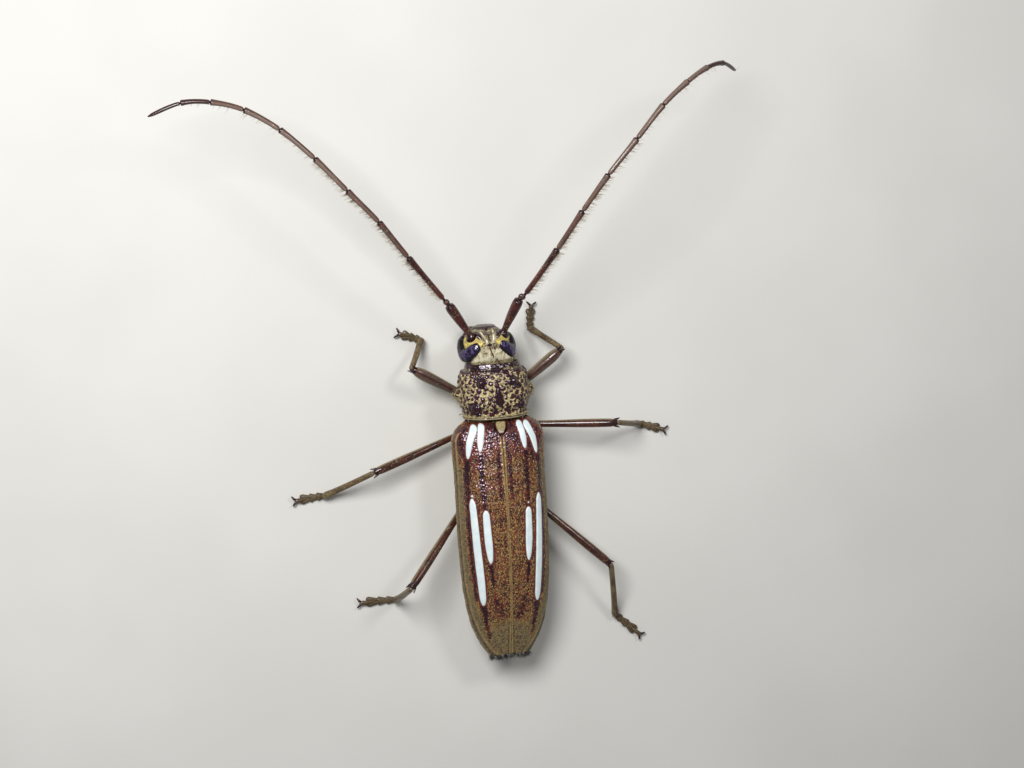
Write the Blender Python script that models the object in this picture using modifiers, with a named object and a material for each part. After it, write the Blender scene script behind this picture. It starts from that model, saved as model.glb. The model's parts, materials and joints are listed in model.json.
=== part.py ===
"""A longhorn beetle, Susuacanga hatsueae, life size, standing with its feelers raised.

Lengths are in millimetres and angles in degrees, and MM turns a length to metres where a mesh
is made. +Z is up, the beetle faces -Y and its left side is +X. Places are measured from the
floor under the front end of the suture, the line where the two elytra meet. At the end the
whole beetle is moved so that the middle of its footprint on the floor is the origin.
"""

import math
import random

import bmesh
import bpy
from mathutils import Matrix, Vector

MM = 0.001
GAP = 0.3
FINE_GAP = 0.2
SIDES = {"left": 1, "right": -1}

# Elytra: half width, height of the suture and height of the side rim, each by distance from the front
ELYTRA_FRONT = -0.1
ELYTRA_END = 21.35
ELYTRA_HALF = ((-0.1, 2.75), (0.2, 3.35), (0.7, 3.82), (1.6, 4.12), (5.0, 4.05), (9.0, 4.07),
               (13.8, 3.97), (16.4, 3.72), (18.4, 3.31), (19.6, 2.86), (20.6, 2.28), (21.4, 1.66))
ELYTRA_CREST = ((-0.1, 6.3), (0.9, 6.9), (3.5, 7.25), (8.0, 7.5), (12.0, 7.3), (15.8, 6.65),
                (18.5, 5.85), (21.4, 4.9))
ELYTRA_RIM = ((-0.1, 4.75), (1.6, 4.5), (8.0, 4.35), (13.8, 4.2), (17.0, 4.1), (21.4, 3.95))
ELYTRA_SQUARENESS = 2.4
ELYTRA_THICKNESS = 0.45
APEX_SLANT = 0.3
APEX_SPINES = ((0.3, 0.25), (1.5, 0.4))

# Ivory stripes raised on each elytron: start, middle and end as (from the suture, from the front), then width
STRIPES = (((1.66, 0.1), (1.87, 1.1), (2.0, 2.28), 0.6),
           ((2.29, 0.2), (2.81, 1.5), (3.06, 2.85), 0.64),
           ((1.9, 7.6), (1.84, 9.8), (1.7, 12.24), 0.7),
           ((2.97, 6.54), (2.77, 11.2), (2.43, 16.14), 0.65))
STRIPE_RISE = 0.14
STRIPE_ROOT = 0.22

# Scutellum, the small shield between the elytra
SCUTELLUM_HALF = ((0.0, 0.5), (0.5, 0.48), (0.85, 0.3), (0.98, 0.12))
SCUTELLUM_LOW = 6.42
SCUTELLUM_TOP = 6.88

# Prothorax: half width, top and underside by distance from the front of the elytra
PROTHORAX_FRONT = -5.1
PROTHORAX_BACK = -0.35
PROTHORAX_HALF = ((-5.1, 2.4), (-4.75, 2.52), (-4.5, 2.8), (-4.0, 3.02), (-2.5, 3.1), (-1.4, 2.98),
                  (-0.85, 2.8), (-0.35, 2.85))
PROTHORAX_TOP = ((-5.1, 6.1), (-4.7, 6.25), (-4.4, 6.4), (-3.2, 6.75), (-1.6, 6.75), (-0.85, 6.4),
                 (-0.35, 6.5))
PROTHORAX_LOW = ((-5.1, 2.7), (-4.0, 2.35), (-1.7, 2.2), (-0.35, 2.3))
PROTHORAX_WIDEST = 4.2
SIDE_TUBERCLE = Vector((3.1, -2.5, 4.3))
SIDE_TUBERCLE_RISE = 0.55
CALLI = ((1.42, -3.6, 0.3, 0.4), (0.0, -2.25, 0.22, 0.42), (1.75, -1.35, 0.25, 0.45))
GRANULE_RADIUS = 0.2
GRANULE_SPACING = 0.8

# Pterothorax and abdomen, under the elytra
BODY_INSET = ELYTRA_THICKNESS + GAP
LEDGE_INSET = 0.15
PTEROTHORAX_FRONT = 0.0
PTEROTHORAX_BACK = 8.0
ABDOMEN_BACK = 20.9
BELLY_LOW = ((0.0, 2.2), (2.0, 1.95), (5.0, 1.85), (8.0, 1.9), (14.0, 2.05), (18.0, 2.5), (20.9, 3.3))
BELLY_BACK_NARROWING = 0.25
SHOULDER_SETBACK = 0.4
SEGMENT_ENDS = (10.9, 13.4, 15.8, 18.1)
SEGMENT_GROOVE = 0.13

# Head, modelled straight, then turned and shifted a little to the beetle's left, as a live one holds it
HEAD_TURN = 2.0
HEAD_SHIFT = Vector((0.3, 0.0, 0.0))
NAPE = (-6.5, -5.4)
NECK = Vector((0.0, -4.2, 0.0))
HEAD_HALF = ((-8.45, 0.85), (-8.0, 1.25), (-7.7, 1.6), (-7.3, 1.95), (-6.8, 2.05), (-6.0, 2.0), (-5.4, 2.1))
HEAD_TOP = ((-8.45, 4.4), (-8.1, 5.1), (-7.5, 5.9), (-6.9, 6.15), (-6.2, 6.12), (-5.4, 5.8))
HEAD_LOW = ((-8.45, 3.2), (-8.0, 2.6), (-7.4, 2.15), (-6.5, 2.2), (-5.4, 2.6))
HEAD_WIDEST = ((-8.45, 3.8), (-7.5, 4.1), (-5.4, 4.3))
FEELER_SOCKET = Vector((1.36, -7.55, 5.25))
BROW = (0.9, -7.2, 0.3, 0.42)
EYE_ROUTE = ((0.82, -7.0, 5.82), (1.15, -6.72, 5.78), (1.55, -6.4, 5.55), (1.95, -6.05, 5.16),
             (2.16, -6.08, 4.65), (2.19, -6.6, 4.2), (2.09, -7.15, 3.87), (1.96, -7.48, 3.75))
EYE_RADII = (0.22, 0.36, 0.4, 0.43, 0.45, 0.45, 0.4, 0.24)
LABRUM_HALF = ((-7.82, 0.5), (-8.05, 0.6), (-8.25, 0.35))
LABRUM_LEVEL = 2.03
LABRUM_TALL = 0.2
MANDIBLE_ROUTE = ((0.82, -7.5, 1.72), (0.98, -7.72, 1.42), (0.9, -7.86, 1.08), (0.6, -7.92, 0.82), (0.22, -7.94, 0.74))
MANDIBLE_RADII = (0.32, 0.33, 0.28, 0.2, 0.09)
PALP_ROUTE = ((0.95, -6.6, 1.95), (1.27, -6.88, 1.4), (1.34, -7.18, 0.95), (1.12, -7.5, 0.62))
PALP_RADII = (0.2, 0.25, 0.25, 0.18)

# Feelers: length of each piece, the same on both sides, and its slope by side. The scape starts each list,
# the small second piece is one node with the third, and an angle of 90 in plan points straight ahead
FEELER_LENGTHS = (4.1, 0.84, 5.16, 4.07, 3.78, 3.78, 3.68, 3.25, 2.73, 2.36, 2.77)
FEELER_PLAN = {"left": (56, 51, 52, 53, 48, 48, 43, 32, 16, 1, -19),
               "right": (69, 44, 57, 58, 54, 48, 46, 36, 27, 10, -20)}
FEELER_RISE = {"left": (21.5, 20.5, 18, 13, 8, 5, 4, 3, 1, -3, -8),
               "right": (34, 32, 29, 25, 17, 4, -8, -18, -27, -36, -48)}
FEELER_RADII = (0.45, 0.27, 0.27, 0.26, 0.25, 0.25, 0.25, 0.25, 0.24, 0.22, 0.17)
FEELER_TIP = 0.07
SCAPE_NECK = 0.26
SCAPE_BULB = 0.33

# Legs: coxa place and half axes, and the lengths and thicknesses of each pair
COXAE = {"front": ((1.1, -1.3, 1.65), (0.72, 0.75, 0.7)),
         "mid": ((1.4, 0.95, 1.55), (0.78, 0.72, 0.7)),
         "hind": ((1.5, 6.2, 1.5), (1.05, 0.65, 0.62))}
FEMUR_LENGTHS = {"front": 7.25, "mid": 10.2, "hind": 11.9}
TIBIA_LENGTHS = {"front": 3.9, "mid": 5.4, "hind": 6.7}
TARSUS_LENGTHS = {"front": 2.4, "mid": 2.9, "hind": 3.6}
FEMUR_STOUTNESS = {"front": 1.3, "mid": 1.0, "hind": 1.0}
FEMUR_RADII = ((0.0, 0.31), (0.1, 0.32), (0.16, 0.27), (0.45, 0.33), (0.78, 0.39), (0.93, 0.37), (1.0, 0.33))
TIBIA_RADII = ((0.0, 0.25), (0.3, 0.27), (0.8, 0.3), (1.0, 0.35))
TIBIA_END_HEIGHT = 0.6
KNEE_SPINE = 0.4

# Each leg: how far its femur points ahead of straight sideways, its rise, and the plan angles of tibia and tarsus
LEG_ANGLES = {("front", "left"): (32, 15, 124, 20),
              ("front", "right"): (38.5, 13.5, 142, 84),
              ("mid", "left"): (-17.5, 9, -26.5, -5),
              ("mid", "right"): (-1.5, 19.5, -18.5, -18),
              ("hind", "left"): (-46, 26.5, -76, 1),
              ("hind", "right"): (-44, 12.5, -80, -44)}

# Tarsus: half width along its length, with a waist between its joints, and its height
TARSUS_HALF = ((0.0, 0.24), (0.24, 0.36), (0.3, 0.25), (0.46, 0.4), (0.52, 0.28), (0.7, 0.48), (0.76, 0.34))
TARSUS_TALL = ((0.0, 0.42), (0.5, 0.4), (0.76, 0.34))
CLAW_RADIUS = 0.13


def smooth(stops, at):
    """Reads a smooth curve through a few (place, size) stops, with no overshoot between them."""
    if at <= stops[0][0]:
        return stops[0][1]
    if at >= stops[-1][0]:
        return stops[-1][1]
    slopes = [(b[1] - a[1]) / (b[0] - a[0]) for a, b in zip(stops, stops[1:])]
    tangents = [slopes[0]]
    for before, after in zip(slopes, slopes[1:]):
        tangents.append(0 if before * after <= 0 else 2 * before * after / (before + after))
    tangents.append(slopes[-1])
    i = max(k for k in range(len(slopes)) if stops[k][0] <= at)
    span = stops[i + 1][0] - stops[i][0]
    t = (at - stops[i][0]) / span
    start = (2 * t**3 - 3 * t**2 + 1) * stops[i][1] + (t**3 - 2 * t**2 + t) * span * tangents[i]
    end = (3 * t**2 - 2 * t**3) * stops[i + 1][1] + (t**3 - t**2) * span * tangents[i + 1]
    return start + end


def steps(start, end, count):
    return [start + (end - start) * i / count for i in range(count + 1)]


def heading(plan, rise, side):
    """The direction that points this far ahead of straight sideways, and this far up."""
    plan = math.radians(plan)
    rise = math.radians(rise)
    return Vector((side * math.cos(rise) * math.cos(plan), -math.cos(rise) * math.sin(plan), math.sin(rise)))


def finished(name, shape):
    """Makes an object of a bmesh, with its faces outwards."""
    bmesh.ops.recalc_face_normals(shape, faces=shape.faces)
    mesh = bpy.data.meshes.new(name)
    shape.to_mesh(mesh)
    shape.free()
    piece = bpy.data.objects.new(name, mesh)
    bpy.context.scene.collection.objects.link(piece)
    return piece


def skin_over(name, rings):
    """A closed skin over a row of rings that have the same number of points, flat at both ends."""
    shape = bmesh.new()
    loops = [[shape.verts.new(point * MM) for point in ring] for ring in rings]
    for near, far in zip(loops, loops[1:]):
        for i in range(len(near)):
            j = (i + 1) % len(near)
            shape.faces.new((near[i], near[j], far[j], far[i]))
    shape.faces.new(loops[0])
    shape.faces.new(loops[-1])
    return finished(name, shape)


def body_ring(y, half, top, low, widest, sides, crown=2.2, belly=2.0):
    """One ring round a body form: a fuller arch above its widest level than below it."""
    ring = []
    for i in range(sides):
        turn = 2 * math.pi * i / sides
        across = math.sin(turn)
        up = math.cos(turn)
        power = 2 / (crown if up > 0 else belly)
        reach = top - widest if up > 0 else widest - low
        x = half * math.copysign(abs(across) ** power, across)
        z = widest + reach * math.copysign(abs(up) ** power, up)
        ring.append(Vector((x, y, z)))
    return ring


def tube(name, route, radii, rounding=2):
    """A round bar along a route, with a radius at each point and closed ends."""
    curve = bpy.data.curves.new(name, "CURVE")
    curve.dimensions = "3D"
    curve.bevel_depth = MM
    curve.bevel_resolution = rounding
    curve.use_fill_caps = True
    spline = curve.splines.new("POLY")
    spline.points.add(len(route) - 1)
    for point, place, radius in zip(spline.points, route, radii):
        point.co = (*(Vector(place) * MM), 1)
        point.radius = radius
    guide = bpy.data.objects.new(name, curve)
    bpy.context.scene.collection.objects.link(guide)
    bpy.context.view_layer.update()
    graph = bpy.context.evaluated_depsgraph_get()
    mesh = bpy.data.meshes.new_from_object(guide.evaluated_get(graph))
    mesh.transform(guide.matrix_world)
    bpy.data.objects.remove(guide)
    shape = bmesh.new()
    shape.from_mesh(mesh)
    bmesh.ops.remove_doubles(shape, verts=shape.verts, dist=1e-7)
    return finished(name, shape)


def grown(name, route, radii, gap):
    """The same bar with a gap all round it and past both ends, to clear its neighbours."""
    route = [Vector(place) for place in route]
    start = (route[0] - route[1]).normalized() * gap
    end = (route[-1] - route[-2]).normalized() * gap
    longer = [route[0] + start, *route, route[-1] + end]
    wider = [radii[0] + gap, *[radius + gap for radius in radii], radii[-1] + gap]
    return tube(name, longer, wider)


def ball(name, centre, half_axes, segments=12, rings=8):
    shape = bmesh.new()
    bmesh.ops.create_uvsphere(shape, u_segments=segments, v_segments=rings, radius=1)
    placed = Matrix.Translation(Vector(centre) * MM) @ Matrix.Diagonal((*(Vector(half_axes) * MM), 1))
    bmesh.ops.transform(shape, matrix=placed, verts=shape.verts)
    return finished(name, shape)


def spine(name, root, tip, root_radius):
    return tube(name, (root, tip), (root_radius, 0.03), rounding=1)


def largest_surface(mesh):
    """Keeps only the closed surface that holds the most."""
    shape = bmesh.new()
    shape.from_mesh(mesh)
    unseen = set(shape.verts)
    islands = []
    while unseen:
        front = [unseen.pop()]
        island = set(front)
        while front:
            vert = front.pop()
            for edge in vert.link_edges:
                other = edge.other_vert(vert)
                if other in unseen:
                    unseen.remove(other)
                    island.add(other)
                    front.append(other)
        islands.append(island)

    def held(island):
        faces = {face for vert in island for face in vert.link_faces}
        total = 0.0
        for face in faces:
            corners = [vert.co for vert in face.verts]
            for b, c in zip(corners[1:], corners[2:]):
                total += corners[0].dot(b.cross(c))
        return abs(total)

    keep = max(islands, key=held)
    bmesh.ops.delete(shape, geom=[vert for vert in shape.verts if vert not in keep], context="VERTS")
    shape.to_mesh(mesh)
    shape.free()


def joined(piece, others, operation):
    """Applies one Boolean of the others to the piece, removes them and keeps the largest surface."""
    cutters = bpy.data.collections.new("cutters")
    bpy.context.scene.collection.children.link(cutters)
    for other in others:
        bpy.context.scene.collection.objects.unlink(other)
        cutters.objects.link(other)
        other.hide_render = True
        other.display_type = "WIRE"
    boolean = piece.modifiers.new(operation.lower(), "BOOLEAN")
    boolean.operation = operation
    boolean.operand_type = "COLLECTION"
    boolean.collection = cutters
    bpy.context.view_layer.update()
    graph = bpy.context.evaluated_depsgraph_get()
    mesh = bpy.data.meshes.new_from_object(piece.evaluated_get(graph))
    piece.modifiers.clear()
    piece.data = mesh
    largest_surface(mesh)
    for other in others:
        bpy.data.objects.remove(other)
    bpy.data.collections.remove(cutters)
    return piece


def fused(piece, others):
    return joined(piece, others, "UNION")


def cut_clear(piece, cutters):
    return joined(piece, cutters, "DIFFERENCE")


def elytron_place(y, across):
    """A place on the left elytron: across runs from 0 at the suture to 1 at the side rim."""
    turn = across * math.pi / 2
    power = 2 / ELYTRA_SQUARENESS
    start = GAP / 2
    x = start + (smooth(ELYTRA_HALF, y) - start) * math.sin(turn) ** power
    rim = smooth(ELYTRA_RIM, y)
    z = rim + (smooth(ELYTRA_CREST, y) - rim) * max(math.cos(turn), 0) ** power
    return Vector((x, y, z))


def elytron_at(x, y):
    """The place on the left elytron this far from the suture, and its outward direction."""
    low, high = 0.0, 1.0
    for _ in range(30):
        middle = (low + high) / 2
        if elytron_place(y, middle).x < x:
            low = middle
        else:
            high = middle
    here = elytron_place(y, low)
    sideways = elytron_place(y, min(low + 0.01, 1)) - elytron_place(y, max(low - 0.01, 0))
    along = elytron_place(y + 0.05, low) - elytron_place(y - 0.05, low)
    return here, along.cross(sideways).normalized()


def stripe(name, start, middle, end, width):
    """A ball bent over the elytron along the stripe's line, so that its upper half stands proud."""
    shape = bmesh.new()
    bmesh.ops.create_uvsphere(shape, u_segments=8, v_segments=10, radius=1)
    for vert in shape.verts:
        along = (vert.co.z + 1) / 2
        bend = [(1 - along) ** 2, 2 * along * (1 - along), along**2]
        bow = (Vector(middle) - (Vector(start) + Vector(end)) / 4) * 2
        spot = Vector(start) * bend[0] + bow * bend[1] + Vector(end) * bend[2]
        here, outward = elytron_at(spot.x, spot.y)
        sideways = outward.cross(Vector((0, 1, 0))).normalized()
        blunt = max(1 - vert.co.z**2, 1e-6) ** 0.2
        rise = STRIPE_RISE if vert.co.y > 0 else STRIPE_ROOT
        moved = here + sideways * vert.co.x / blunt * width / 2 + outward * vert.co.y / blunt * rise
        vert.co = moved * MM
    return finished(name, shape)


def mirrored(piece):
    """Turns a left piece into the right one."""
    piece.data.transform(Matrix.Scale(-1, 4, (1, 0, 0)))
    piece.data.flip_normals()
    return piece


def elytron(side):
    """A shell curved over the body, cut round the scutellum, with stripes and two spines at its end."""
    shape = bmesh.new()
    across_steps, along_steps = 9, 20
    bmesh.ops.create_grid(shape, x_segments=across_steps, y_segments=along_steps, size=0.5)
    for vert in shape.verts:
        across = vert.co.x + 0.5
        y = smooth(((0, ELYTRA_FRONT), (0.2, 1.6), (0.65, 13.8), (1, ELYTRA_END)), vert.co.y + 0.5)
        place = elytron_place(y, across)
        place.y += APEX_SLANT * across * max(vert.co.y * 2, 0) ** 8
        vert.co = place * MM
    shell = finished(f"elytron_{side}", shape)
    solidify = shell.modifiers.new("thickness", "SOLIDIFY")
    solidify.thickness = ELYTRA_THICKNESS * MM
    solidify.offset = -1
    solidify.use_even_offset = True
    forms = [stripe("stripe", *sizes) for sizes in STRIPES]
    for x, length in APEX_SPINES:
        root = Vector((x, ELYTRA_END - 0.15, smooth(ELYTRA_CREST, ELYTRA_END) - 0.3 * x - 0.22))
        forms.append(spine("apex_spine", root, root + Vector((0, 0.35 + length, -0.05)), 0.15))
    fused(shell, forms)
    cut_clear(shell, [scutellum_form("notch", GAP, 1.0)])
    if SIDES[side] < 0:
        mirrored(shell)
    return shell


def scutellum_form(name, gap, deeper):
    rings = []
    for y, half in ((-deeper, SCUTELLUM_HALF[0][1]), *SCUTELLUM_HALF, (SCUTELLUM_HALF[-1][0] + gap, 0.1)):
        middle = (SCUTELLUM_TOP + SCUTELLUM_LOW) / 2
        tall = (SCUTELLUM_TOP - SCUTELLUM_LOW) / 2 + deeper
        rings.append(body_ring(y, half + gap, middle + tall, middle - tall, middle, 12, 4, 4))
    if deeper == 0:
        rings = rings[1:-1]
    return skin_over(name, rings)


def bulged(ring, axis_height, bumps):
    """Moves a ring's points outwards near each bump: its centre, its rise and its spread."""
    moved = []
    for point in ring:
        outward = Vector((point.x, 0, point.z - axis_height)).normalized()
        lift = 0.0
        for centre, rise, spread in bumps:
            lift += rise * math.exp(-(((point - centre).length / spread) ** 2))
        moved.append(point + outward * lift)
    return moved


def prothorax_place(y, turn):
    """A place on the prothorax: turn is the angle from straight up, positive to the left."""
    power = 2 / 2.2
    x = smooth(PROTHORAX_HALF, y) * math.copysign(abs(math.sin(turn)) ** power, math.sin(turn))
    z = PROTHORAX_WIDEST + (smooth(PROTHORAX_TOP, y) - PROTHORAX_WIDEST) * math.cos(turn) ** power
    return Vector((x, y, z))


def prothorax():
    """A barrel with a spined side, raised calli and many round granules on its upper half."""
    bumps = []
    for x, y, rise, spread in CALLI:
        for side in {1, -1 if x else 1}:
            turn = math.asin(min(abs(x) / smooth(PROTHORAX_HALF, y), 1) ** 1.1)
            bumps.append((prothorax_place(y, side * turn), rise, spread))
    for side in SIDES.values():
        bumps.append((Vector((side * SIDE_TUBERCLE.x, SIDE_TUBERCLE.y, SIDE_TUBERCLE.z)), SIDE_TUBERCLE_RISE, 0.6))
    rings = []
    for y in steps(PROTHORAX_FRONT, PROTHORAX_BACK, 17):
        top = smooth(PROTHORAX_TOP, y)
        low = smooth(PROTHORAX_LOW, y)
        ring = body_ring(y, smooth(PROTHORAX_HALF, y), top, low, PROTHORAX_WIDEST, 28)
        rings.append(bulged(ring, PROTHORAX_WIDEST, bumps))
    barrel = skin_over("prothorax", rings)
    chance = random.Random(5)
    granules = []
    for row, y in enumerate(steps(-4.15, -0.95, 4)):
        width = smooth(PROTHORAX_HALF, y)
        count = int(width * 2.5 / GRANULE_SPACING)
        for i in range(count):
            turn = (i + 0.5 + 0.5 * (row % 2)) / count * 2.5 - 1.25 + chance.uniform(-0.04, 0.04)
            place = prothorax_place(y + chance.uniform(-0.12, 0.12), turn)
            place = bulged([place], PROTHORAX_WIDEST, bumps)[0]
            size = GRANULE_RADIUS * chance.uniform(0.85, 1.15)
            granules.append(ball("granule", place, (size, size, size), 6, 3))
    return fused(barrel, granules)


def trunk_ring(y):
    """A ring of the trunk under the elytra, with a ledge below their side rims."""
    cover = min(smooth(ELYTRA_HALF, y), smooth(ELYTRA_HALF, y - SHOULDER_SETBACK))
    inner = cover - BODY_INSET
    half = cover - LEDGE_INSET
    half -= BELLY_BACK_NARROWING * max(0, (y - PTEROTHORAX_BACK) / (ABDOMEN_BACK - PTEROTHORAX_BACK))
    rim = smooth(ELYTRA_RIM, y)
    top = smooth(ELYTRA_CREST, y) - BODY_INSET
    low = smooth(BELLY_LOW, y)
    ledge = rim - GAP
    power = 2 / ELYTRA_SQUARENESS
    left = []
    for turn in steps(0, math.pi / 2, 5):
        height = ledge + 0.15 + (top - ledge - 0.15) * max(math.cos(turn), 0) ** power
        left.append((inner * math.sin(turn) ** power, height))
    left.append((inner, ledge))
    for turn in steps(0, math.pi / 2, 6):
        left.append((half * max(math.cos(turn), 0), ledge - (ledge - low) * math.sin(turn)))
    right = [(-x, z) for x, z in reversed(left[1:-1])]
    return [Vector((x, y, z)) for x, z in left + right]


def pterothorax():
    """The middle and hind thorax in one, which carries the elytra and the four back legs."""
    rings = [trunk_ring(y) for y in steps(PTEROTHORAX_FRONT, PTEROTHORAX_BACK, 12)]
    return skin_over("pterothorax", rings)


def abdomen():
    """Five rings of the belly, parted by grooves."""
    start = PTEROTHORAX_BACK + GAP
    places = set(steps(start, ABDOMEN_BACK, 9))
    for end in SEGMENT_ENDS:
        places = {y for y in places if abs(y - end) > 0.4}
        places |= {end - 0.16, end, end + 0.16}
    rings = []
    for y in sorted(places):
        ring = trunk_ring(y)
        if y in SEGMENT_ENDS:
            middle = Vector((0, y, smooth(ELYTRA_RIM, y)))
            ring = [point + (middle - point).normalized() * SEGMENT_GROOVE for point in ring]
        rings.append(ring)
    return skin_over("abdomen", rings)


def turned_with_head(point):
    return NECK + HEAD_SHIFT + Matrix.Rotation(math.radians(HEAD_TURN), 3, "Z") @ (Vector(point) - NECK)


def on_side(points, side):
    """Points given for the left of the head, for this side and turned with it."""
    return [turned_with_head((SIDES[side] * x, y, z)) for x, y, z in points]


def head():
    """The head case with its two feeler brows, in seats for the eyes and the feelers."""
    bumps = []
    for side in SIDES.values():
        x, y, rise, spread = BROW
        bumps.append((Vector((side * x, y, smooth(HEAD_TOP, y) - 0.1)), rise, spread))
    rings = []
    for y in steps(HEAD_HALF[0][0], HEAD_HALF[-1][0], 12):
        sizes = [smooth(stops, y) for stops in (HEAD_HALF, HEAD_TOP, HEAD_LOW, HEAD_WIDEST)]
        ring = bulged(body_ring(y, *sizes, 24, 2.3, 2.2), sizes[3], bumps)
        back = smooth(((NAPE[0], 0), (NAPE[1], 1)), y)
        rings.append([turned_with_head(point) - HEAD_SHIFT * back for point in ring])
    case = skin_over("head", rings)
    seats = []
    for side in SIDES:
        seats.append(grown("seat", on_side(EYE_ROUTE, side), EYE_RADII, FINE_GAP))
        route, radii = feeler_piece(side, 0)
        seats.append(grown("socket", route[:3], radii[:3], FINE_GAP))
    return cut_clear(case, seats)


def labrum():
    """The upper lip, a plate with a rounded front over the mandibles."""
    rings = []
    for y, half in LABRUM_HALF:
        ring = body_ring(y, half, LABRUM_LEVEL + LABRUM_TALL, LABRUM_LEVEL - LABRUM_TALL, LABRUM_LEVEL, 12, 3, 3)
        rings.append([turned_with_head(point) for point in ring])
    return skin_over("labrum", rings)


def feeler_joints(side):
    joints = [on_side([FEELER_SOCKET], side)[0]]
    for length, plan, rise in zip(FEELER_LENGTHS, FEELER_PLAN[side], FEELER_RISE[side]):
        joints.append(joints[-1] + heading(plan, rise, SIDES[side]) * length)
    return joints


def through(points, i, t):
    """A place on the smooth curve that passes through the points, past point i by the share t."""
    last = len(points) - 1
    a = points[max(i - 1, 0)]
    b, c = points[i], points[i + 1]
    d = points[min(i + 2, last)]
    return 0.5 * (2 * b + (c - a) * t + (2 * a - 5 * b + 4 * c - d) * t**2 + (3 * b - a - 3 * c + d) * t**3)


def feeler_piece(side, i):
    """The route and the radii of one piece of a feeler, with its share of the gaps at its ends."""
    joints = feeler_joints(side)
    radius = FEELER_RADII[i]
    if i == 0:
        straight = joints[1] - joints[0]
        shares = (0, 0.05, 0.11, 0.3, 0.6, 0.88, 1 - FINE_GAP / straight.length)
        sag = Vector((0, 0, -0.12))
        route = [joints[0] + straight * s + sag * math.sin(math.pi * s) for s in shares]
        return route, [SCAPE_BULB, SCAPE_BULB, SCAPE_NECK, 0.33, 0.42, radius, 0.32]
    first, last = (1, 2) if i == 2 else (i, i)
    route = [joints[1]] if i == 2 else []
    for t in steps(0, 1, 4):
        route.append(through(joints, last, t))
    route[0] = route[0] if i == 2 else route[0] + (route[1] - route[0]).normalized() * FINE_GAP
    radii = [radius * share for share in (0.88, 0.86, 0.9, 0.98, 1.12)]
    if first != last:
        radii = [radius * 0.9, radius * 0.8, *radii[1:]]
    if i == len(FEELER_RADII) - 1:
        radii = [radius, radius, radius, radius * 0.8, FEELER_TIP]
    return route, radii


def feelers():
    made = []
    for side in SIDES:
        for i in range(len(FEELER_LENGTHS)):
            if i == 1:
                continue
            name = f"feeler_{side}_scape" if i == 0 else f"feeler_{side}_{i + 1:02d}"
            made.append(tube(name, *feeler_piece(side, i)))
    return made


def coxa(pair, side, gap=0.0):
    (x, y, z), half_axes = COXAE[pair]
    centre = (SIDES[side] * x, y, z)
    return ball(f"coxa_{pair}_{side}", centre, [half + gap for half in half_axes])


def leg(pair, side):
    """The joints of one leg: hip, knee and the tibia's lower end, and the way its tarsus points."""
    femur_plan, femur_rise, tibia_plan, tarsus_plan = LEG_ANGLES[pair, side]
    (x, y, z), half_axes = COXAE[pair]
    centre = Vector((SIDES[side] * x, y, z))
    outward = heading(femur_plan, femur_rise, SIDES[side])
    to_surface = 1 / math.sqrt(sum((outward[k] / half_axes[k]) ** 2 for k in range(3)))
    knee = centre + outward * FEMUR_LENGTHS[pair]
    drop = (knee.z - TIBIA_END_HEIGHT) / TIBIA_LENGTHS[pair]
    reach = TIBIA_LENGTHS[pair] * math.sqrt(max(1 - drop * drop, 0))
    foot = knee + heading(tibia_plan, 0, SIDES[side]) * reach
    foot.z = TIBIA_END_HEIGHT
    return centre + outward * (to_surface + FINE_GAP), knee, foot, heading(tarsus_plan, 0, SIDES[side])


def bowed(start, end, lift, count):
    """A route from start to end that bows upwards in the middle."""
    return [start + (end - start) * t + Vector((0, 0, lift * math.sin(math.pi * t))) for t in steps(0, 1, count)]


def femur_bar(pair, side):
    """The route of a thigh and its radii: the front pair is stouter, but no thicker at the knee."""
    hip, knee, _, _ = leg(pair, side)
    short = knee - (knee - hip).normalized() * 0.35
    route = bowed(hip, short, 0.12, 8)
    radii = [smooth(FEMUR_RADII, t) * FEMUR_STOUTNESS[pair] for t in steps(0, 1, 8)]
    radii[-1] = FEMUR_RADII[-1][1]
    return route, radii


def tibia_bar(pair, side):
    _, knee, foot, _ = leg(pair, side)
    route = bowed(knee, foot, 0.1, 6)
    return route, [smooth(TIBIA_RADII, t) for t in steps(0, 1, 6)]


def femur(pair, side):
    """The thigh, with its short root piece, thickest before the knee, where two small spines stand."""
    route, radii = femur_bar(pair, side)
    _, knee, foot, _ = leg(pair, side)
    along = (route[-1] - route[-2]).normalized()
    beside = along.cross((foot - knee).normalized()).normalized()
    bar = tube(f"femur_{pair}_{side}", route, radii)
    spines = []
    for way in (1, -1):
        root = route[-1] - along * 0.2 + beside * way * radii[-1] * 0.8
        spines.append(spine("knee_spine", root, root + along * (0.2 + KNEE_SPINE) + beside * way * 0.3, 0.13))
    return fused(bar, spines)


def tibia(pair, side):
    """The shin, slightly bowed and wider at its end, hollowed where it meets the thigh."""
    bar = tube(f"tibia_{pair}_{side}", *tibia_bar(pair, side))
    return cut_clear(bar, [grown("knee_gap", *femur_bar(pair, side), FINE_GAP)])


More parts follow.
